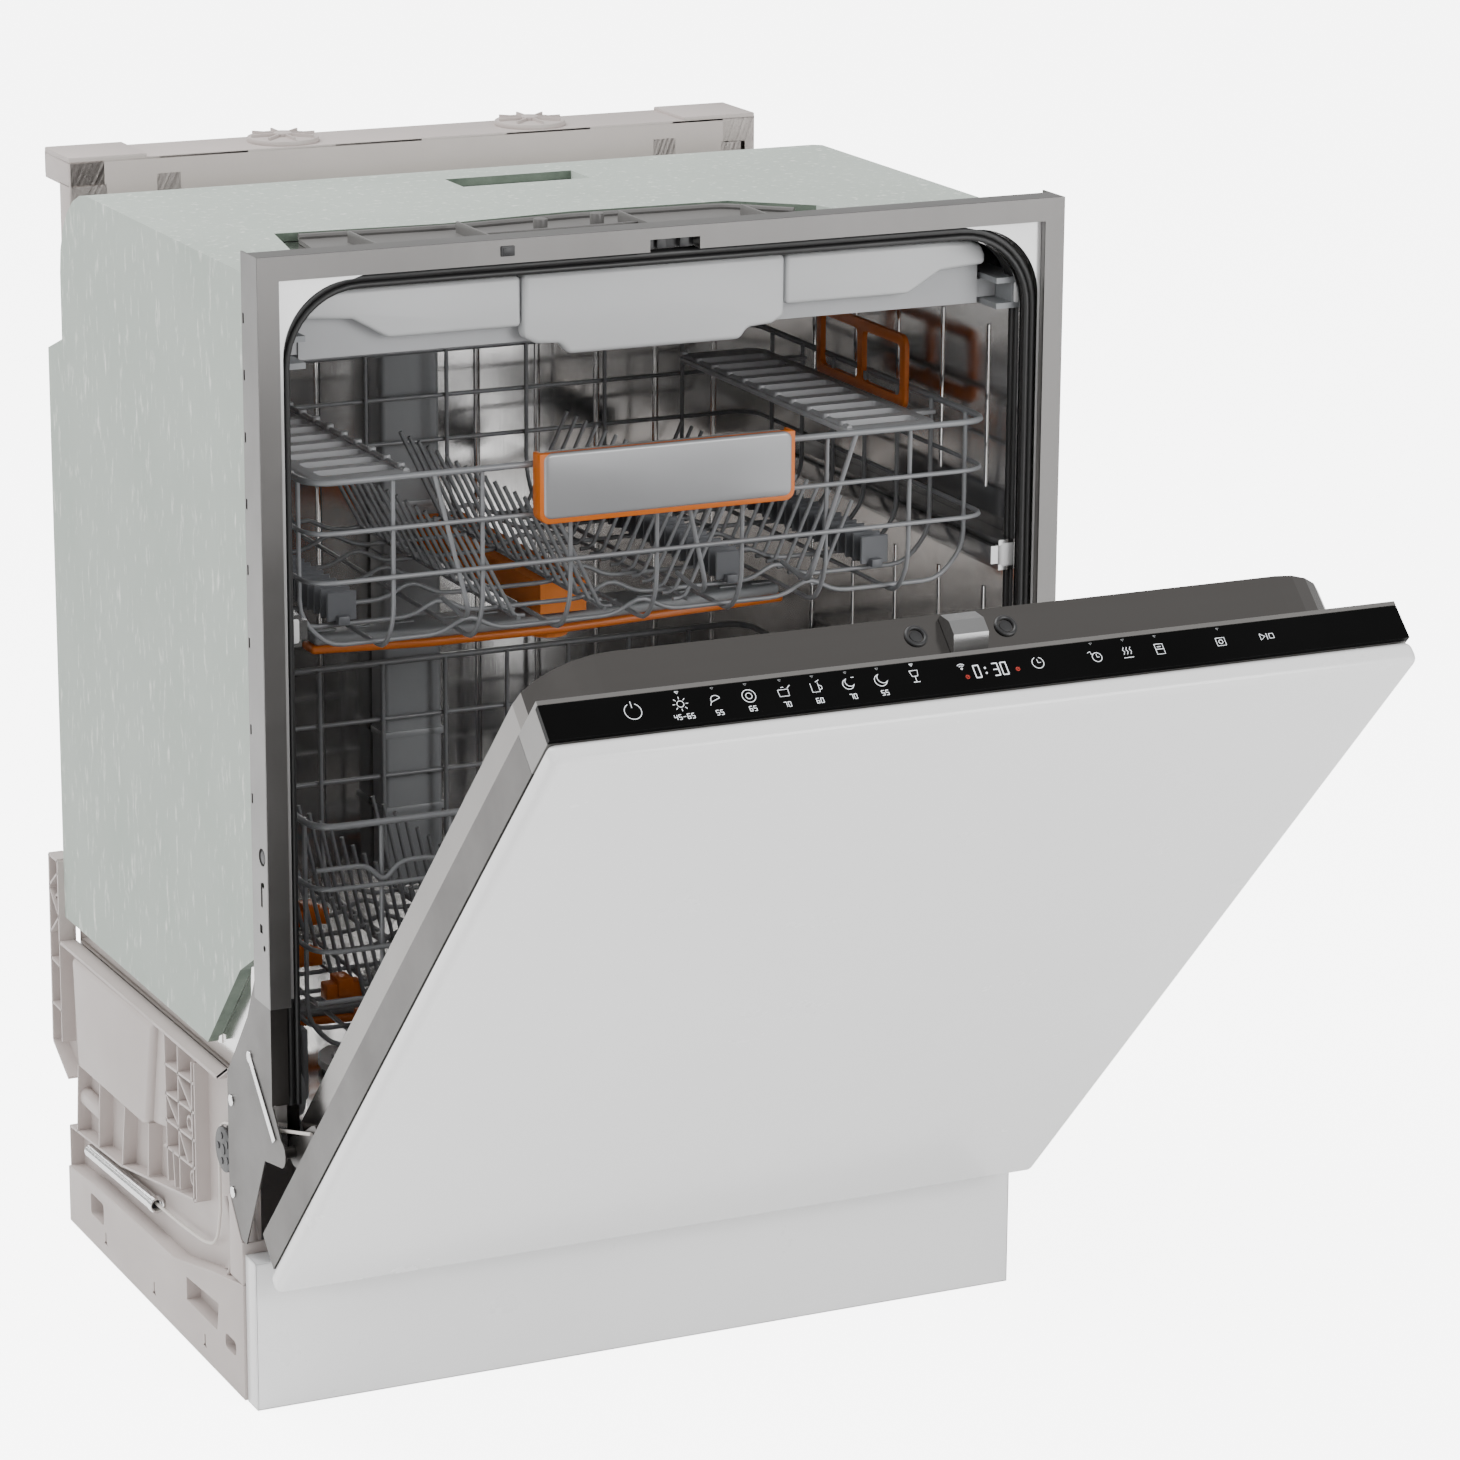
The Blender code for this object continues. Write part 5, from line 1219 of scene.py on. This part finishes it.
# %% Base mouldings
for side, word in SIDES:
    outer = side_span(side, WEB_OUT - SUNK, FACE)
    web = plate("X", WEB_LINE, *side_span(side, WEB_IN, WEB_OUT))
    skirt = plate("X", SKIRT_LINE, *outer, 0.0008)
    reach = side_span(side, WEB_OUT + 0.002, FACE + 0.01)
    cuts = [plate("X", [(0.118, 0.0545), (0.186, 0.0505), (0.186, 0.0330), (0.122, 0.0330)], *reach),
            plate("X", rounded(0.372, 0.402, 0.024, 0.041, 0.003), *reach),
            plate("X", rounded(0.083, 0.105, 0.0270, 0.0380, 0.004), *reach)]
    for y in (0.368, 0.2585, 0.1485):
        cuts.append(plate("X", [(y - 0.004, 0.0105), (y + 0.004, 0.0105), (y + 0.001, 0.0135),
                                (y + 0.001, 0.0200), (y - 0.001, 0.0200), (y - 0.001, 0.0135)], *reach))
    skirt = carve(skirt, *cuts)
    bulge = plate("X", [(0.4332, 0.2186), (0.2508, 0.2215), (0.2680, 0.1400), (0.2792, 0.1365),
                        (0.4248, 0.1337)], *outer, 0.0040, 4)
    slant = plate("X", [(0.2530, 0.2210), (0.2340, 0.2215), (0.2350, 0.1462), (0.2700, 0.1395)],
                  *side_span(side, WEB_OUT - SUNK, 0.2935), 0.0030, 3)
    peg = block(*side_span(side, WEB_OUT - 0.001, 0.2950), 0.3860, 0.4400, 0.1000, 0.1140, 0.0050, 4)
    walls = [rib(side, *line) for line in LATTICE + GUSSETS + POST + CHANNEL]
    edge = WEB_LINE[2:9]
    walls += [rib(side, *a, *b, thick=0.0026) for a, b in zip(edge, edge[1:])]
    cups = [rod("X", y, z, 0.0062, *side_span(side, WEB_OUT, 0.2950), 20, 0.0006) for y, z in CUPS]
    holes = [rod("X", y, z, 0.0042, *side_span(side, WEB_OUT + 0.001, 0.2970), 16) for y, z in CUPS]
    cups = carve(join(*cups), *holes)
    apron = block(*side_span(side, 0.2712, FACE), 0.0668, 0.0692, 0.0880, 0.1180, 0.0009)
    apron = carve(apron, block(*side_span(side, 0.2800, 0.2930), 0.05, 0.08, 0.1030, 0.1100, 0.0015))
    neck_line = [(0.0675, 0.0865), (0.0675, 0.1160), (0.0935, 0.1480), (0.0935, 0.0865)]
    neck = [plate("X", neck_line, *side_span(side, x, x + 0.0018), 0.0004) for x in (0.2840, 0.2965)]
    floor_plate = plate("X", [(0.1000, 0.1150), (0.1150, 0.0900), (0.1330, 0.0745), (0.0940, 0.0860)],
                        *side_span(side, WEB_OUT - SUNK, 0.2890), 0.0004)
    guide = wires([[(side * 0.2940, y, z) for y, z in arc(0.1430, 0.1060, 0.0430, 135, 225, 12)]], 0.0016, 2)
    moulding = join(web, skirt, bulge, slant, peg, cups, apron, guide, floor_plate, *neck, *walls)
    finished(moulding, "base_moulding_" + word, "cabinet", beige_plastic,
             replaces=["base_side_" + word])
print("base sides ready")

# %% [markdown]
# ## Door balance: spring, cord, pulley and hinge
#
# A tight spring in the channel pulls a cord that runs over a pulley to the hinge
# arm, and so balances the door.  The last straight run of the cord is a piece of
# its own, laid between cabinet and door at the door's present opening.

# %% Places of the balance
pulley_low, pulley_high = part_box("cord_pulley_left")
pulley_y = (pulley_low.y + pulley_high.y) / 2 - front_y
pulley_z = (pulley_low.z + pulley_high.z) / 2
pulley_r = (pulley_high.z - pulley_low.z) / 2
pivot = Vector((swing["pos_m"][1] - front_y, swing["pos_m"][2]))
arm_end = Vector((-0.0100, 0.0450))
cord_end = Vector((pivot.x + arm_end.x * math.cos(tilt) - arm_end.y * math.sin(tilt),
                   pivot.y + arm_end.x * math.sin(tilt) + arm_end.y * math.cos(tilt)))
lap = pulley_r + 0.0014
over = arc(pulley_y, pulley_z, lap, 0, 72, 8)
spring_x, start, stop = 0.2925, 0.2700, 0.4180
print("cord ends at", tuple(round(v, 4) for v in cord_end))


# %% Spring
def spring(x, turns=66, per_turn=10, coil_r=0.0045):
    """The path of a tight coil that drops a little to the back."""
    helix = []
    for i in range(turns * per_turn + 1):
        t = i / (turns * per_turn)
        a = 2 * math.pi * i / per_turn
        helix.append((x + coil_r * math.cos(a), start + (stop - start) * t,
                      0.0760 - 0.0075 * t + coil_r * math.sin(a)))
    return helix


for side, word in SIDES:
    x = side * spring_x
    coil = wires([spring(x)], 0.0011, 2)
    felt_shade_and_spring_core = rod("Y", x, 0.0722, 0.0036, start + 0.002, stop - 0.002, 16)
    only(felt_shade_and_spring_core)
    bpy.ops.transform.rotate(value=math.radians(2.9), orient_axis="X", center_override=(x, 0.344, 0.0722))
    hooks = []
    for k in (0, 2, 4):
        circle = arc(x, 0.0765, 0.0052, 0, 360, 12)[:-1]
        hooks.append(wires([[(u, start - 0.004 + 0.0011 * k, v) for u, v in circle]], 0.0012, 2, closed=True))
    eye = wires([[(x, stop + 0.0008, 0.0685), (x, stop + 0.0030, 0.0690)]], 0.0024, 3)
    finished(join(coil, *hooks), "balance_coil_" + word, "cabinet", spring_steel,
             replaces=["door_spring_" + word], angle=60)
    finished(join(felt_shade_and_spring_core, eye), "balance_core_" + word, "cabinet", dark_plastic)
print("springs ready")

# %% Cord
route = [(start + 0.002, 0.0762), (0.2150, 0.0790), (0.1650, 0.0835), (0.1460, 0.0890), (0.1370, 0.0980),
         (pulley_y + lap, 0.1200)]
for side, word in SIDES:
    cord_x = side * (spring_x - 0.001)
    still = bends([(cord_x, y, z) for y, z in route], 0.012, 5)
    still += [Vector((cord_x, y, z)) for y, z in over]
    finished(wires([still], 0.0012, 3), "balance_cord_" + word, "cabinet", cord_fibre,
             angle=60)
    begin, end = Vector((cord_x, *over[-1])), Vector((side * 0.2895, *cord_end))
    steps = [begin.lerp(end, i / 14) for i in range(15)]
    run = finished(wires([steps], 0.0012, 3), "balance_cord_run_" + word, None, cord_fibre,
                   angle=60)
    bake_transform(run)
print("cords ready")

# %% Pulley and hinge stay
for side, word in SIDES:
    low_x, high_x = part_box("cord_pulley_" + word)[0].x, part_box("cord_pulley_" + word)[1].x
    rims = [rod("X", pulley_y, pulley_z, pulley_r, low_x, low_x + 0.0022, 40, 0.0005),
            rod("X", pulley_y, pulley_z, pulley_r, high_x - 0.0022, high_x, 40, 0.0005),
            rod("X", pulley_y, pulley_z, pulley_r * 0.86, low_x + 0.001, high_x - 0.001, 32)]
    face_x = (low_x, low_x - 0.0006) if side < 0 else (high_x, high_x + 0.0006)
    for k in range(5):
        a = math.radians(72 * k)
        u, v = pulley_y + 0.0100 * math.cos(a), pulley_z + 0.0100 * math.sin(a)
        rims.append(rod("X", u, v, 0.0026, *sorted(face_x), 14))
    rims.append(rod("X", pulley_y, pulley_z, 0.0040, *sorted(face_x), 20))
    finished(join(*rims), "grooved_pulley_" + word, "pulley_" + word, dark_plastic,
             replaces=["cord_pulley_" + word])
    link = [(0.0440, 0.2640), (0.0480, 0.2600), (0.0020, 0.2140), (-0.0030, 0.2180)]
    bar = plate("X", link, *side_span(side, 0.2979, 0.2988), 0.0003)
    ends = [rod("X", u, v, 0.0042, *side_span(side, 0.2976, 0.2989), 20, 0.0004)
            for u, v in ((0.0462, 0.2622), (0.0850, 0.2180), (0.0850, 0.1500))]
    finished(join(bar, *ends), "hinge_stay_" + word, "cabinet", spring_steel)
print("pulleys and stays ready")

# %% [markdown]
# ## Spray arms, water duct and wheels
#
# A spray arm is a hollow blade on a hub.  The upper shell is grey and the lower
# one orange, so a thin orange line shows along its edge.

# %% Spray arms
for name, node, body in (("upper_arm_blade", "upper_spray_arm", "upper_arm"),
                         ("lower_arm_blade", "lower_spray_arm", "lower_arm")):
    low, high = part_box(node)
    cy, reach = (low.y + high.y) / 2 - front_y, high.x - 0.001
    z, half = low.z, (high.y - low.y) / 2
    blade = [(-reach, cy - half * 0.45), (-reach * 0.55, cy - half * 0.92), (0, cy - half),
             (reach * 0.55, cy - half * 0.6), (reach, cy - half * 0.30)]
    blade += [(-u, 2 * cy - v) for u, v in blade]
    smaller = [(u * 0.985, cy + (v - cy) * 0.90) for u, v in blade]
    under = plate("Z", blade, z, z + 0.0060, 0.0022, 3)
    shell = plate("Z", smaller, z + 0.0056, z + 0.0135, 0.0028, 3)
    hub = rod("Z", 0, cy, 0.019, z + 0.0100, z + 0.0158, 36, 0.0015)
    middles = [s * reach * t for s in (-1, 1) for t in (0.25, 0.42, 0.60, 0.78, 0.92)]
    jets = [block(x - 0.008, x + 0.008, cy - 0.0018, cy + 0.0018, z + 0.0130, z + 0.0146, 0.0007)
            for x in middles]
    finished(under, name + "_lower", body, orange_plastic, replaces=[node])
    finished(join(shell, hub, *jets), name + "_upper", body, grey_plastic)
print("spray arms ready")

# %% Duct
duct_low, duct_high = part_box("supply_duct")
column = [(0.4296, 0.2405), (0.4584, 0.2405), (0.4584, 0.6700), (0.4262, 0.6820), (0.4262, 0.7300),
          (0.4000, 0.7300), (0.4000, 0.6770), (0.4296, 0.6640)]
duct = plate("X", column, duct_low.x, duct_high.x, 0.0045, 4)
collars = [block(duct_low.x - 0.0015, duct_high.x + 0.0015, 0.4284, 0.4560, z, z + 0.0060, 0.0015)
           for z in (0.300, 0.360, 0.500, 0.540)]
finished(join(duct, *collars), "duct_column", "cabinet", duct_plastic,
         replaces=["supply_duct"])
print("duct ready")

# %% Basket wheels
for side, word in SIDES:
    for end in ("front", "rear"):
        node = f"rack_wheel_{end}_{word}"
        low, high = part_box(node)
        u, v, r = (low.y + high.y) / 2 - front_y, (low.z + high.z) / 2, (high.z - low.z) / 2
        tyre = rod("X", u, v, r, low.x, high.x, 40, 0.0012)
        tyre = carve(tyre, rod("X", u, v, r * 0.76, low.x - 0.01, low.x + 0.0016, 32),
                     rod("X", u, v, r * 0.76, high.x - 0.0016, high.x + 0.01, 32),
                     rod("X", u, v, 0.0041, low.x - 0.01, high.x + 0.01, 20))
        spokes = [rod("X", *spot, r * 0.13, low.x + 0.0004, high.x - 0.0004, 12)
                  for spot in arc(u, v, r * 0.45, 0, 360, 6)[:-1]]
        finished(join(tyre, *spokes), f"basket_wheel_{end}_{word}", f"wheel_{end}_{word}",
                 grey_plastic, replaces=[node])
print("wheels ready")

# %% [markdown]
# ## Cutlery tray
#
# The tray's front is in three parts: two wings that taper to their tips and a
# middle block that stands proud of them.  Behind it lie orange and grey combs.

# %% Tray front
fascia_low, fascia_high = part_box("tray_fascia")
f0, f1 = fascia_low.y - front_y, fascia_high.y - front_y
f_half, f_top = fascia_high.x, fascia_high.z
wings = []
for side, word in SIDES:
    wing = [(side * 0.0990, f_top - 0.0010), (side * (f_half - 0.0120), f_top - 0.0010),
            (side * (f_half - 0.0030), f_top - 0.0045), (side * f_half, f_top - 0.0120),
            (side * f_half, 0.7745), (side * (f_half - 0.0350), 0.7720), (side * (f_half - 0.0600), 0.7575),
            (side * 0.0990, 0.7575)]
    wings.append(plate("Y", wing, f0 + 0.0022, f1, 0.0032, 4))
right_edge = [(0.0975, f_top), (0.0975, 0.7500), (0.0880, 0.7452), (0.0700, 0.7440), (0.0640, 0.7362)]
middle = right_edge + [(-u, v) for u, v in reversed(right_edge)]
front_block = plate("Y", middle, f0, f1, 0.0038, 5)
finished(join(front_block, *wings), "tray_front", "tray", fascia_plastic,
         replaces=["tray_fascia"])
print("tray front ready")

# %% Combs and dividers
paint("cutlery_tray", shelf_plastic)
combs = []
for i in range(6):
    for x in (-0.228 + 0.0085 * i, 0.186 + 0.0085 * i):
        combs.append(block(x, x + 0.0050, 0.0450, 0.0530, 0.7560, 0.7720, 0.0012))
finished(join(*combs), "tray_combs", "tray", orange_plastic)
ribs = []
for i in range(24):
    x = -0.230 + 0.0200 * i
    ribs.append(block(x - 0.0010, x + 0.0010, 0.060, 0.375, 0.7485, 0.7680, 0.0006, 1))
finished(join(*ribs), "tray_dividers", "tray", comb_plastic)
print("tray ready")

# %% [markdown]
# ## Seal band with painted reflection, and rail ends
#
# Behind the lips a dark grooved rubber band runs round the opening: partly the
# seal, and partly painted reflection of the dark steel beside it.  Each basket rail
# ends in a small moulded stop.

# %% Seal band, partly painted reflection
# Partly painted reflection: the dark band stands for the seal and for dark reflections in the wall steel.
seal_and_reflection_wires = [wires([mouth_path(0.0056, y, 0.2300)], 0.0036, 3) for y in (0.0195, 0.0265, 0.0335)]
finished(join(*seal_and_reflection_wires), "seal_band_with_painted_reflection", "cabinet", seal_rubber, angle=60)
stops = []
for side, word in SIDES:
    low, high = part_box("upper_rail_" + word)
    y = low.y - front_y
    stops.append(block(low.x + 0.0012, high.x - 0.0012, y - 0.0008, y + 0.0090, low.z + 0.0020,
                       high.z - 0.0020, 0.0022, 3))
    low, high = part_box("tray_track_" + word)
    y = low.y - front_y
    stops.append(block(*side_span(side, 0.2712, 0.2800), y - 0.0008, y + 0.0070, low.z + 0.0030,
                       high.z - 0.0030, 0.0022, 3))
finished(join(*stops), "rail_stops", "cabinet", white_plastic)
print("seal channel and stops ready")
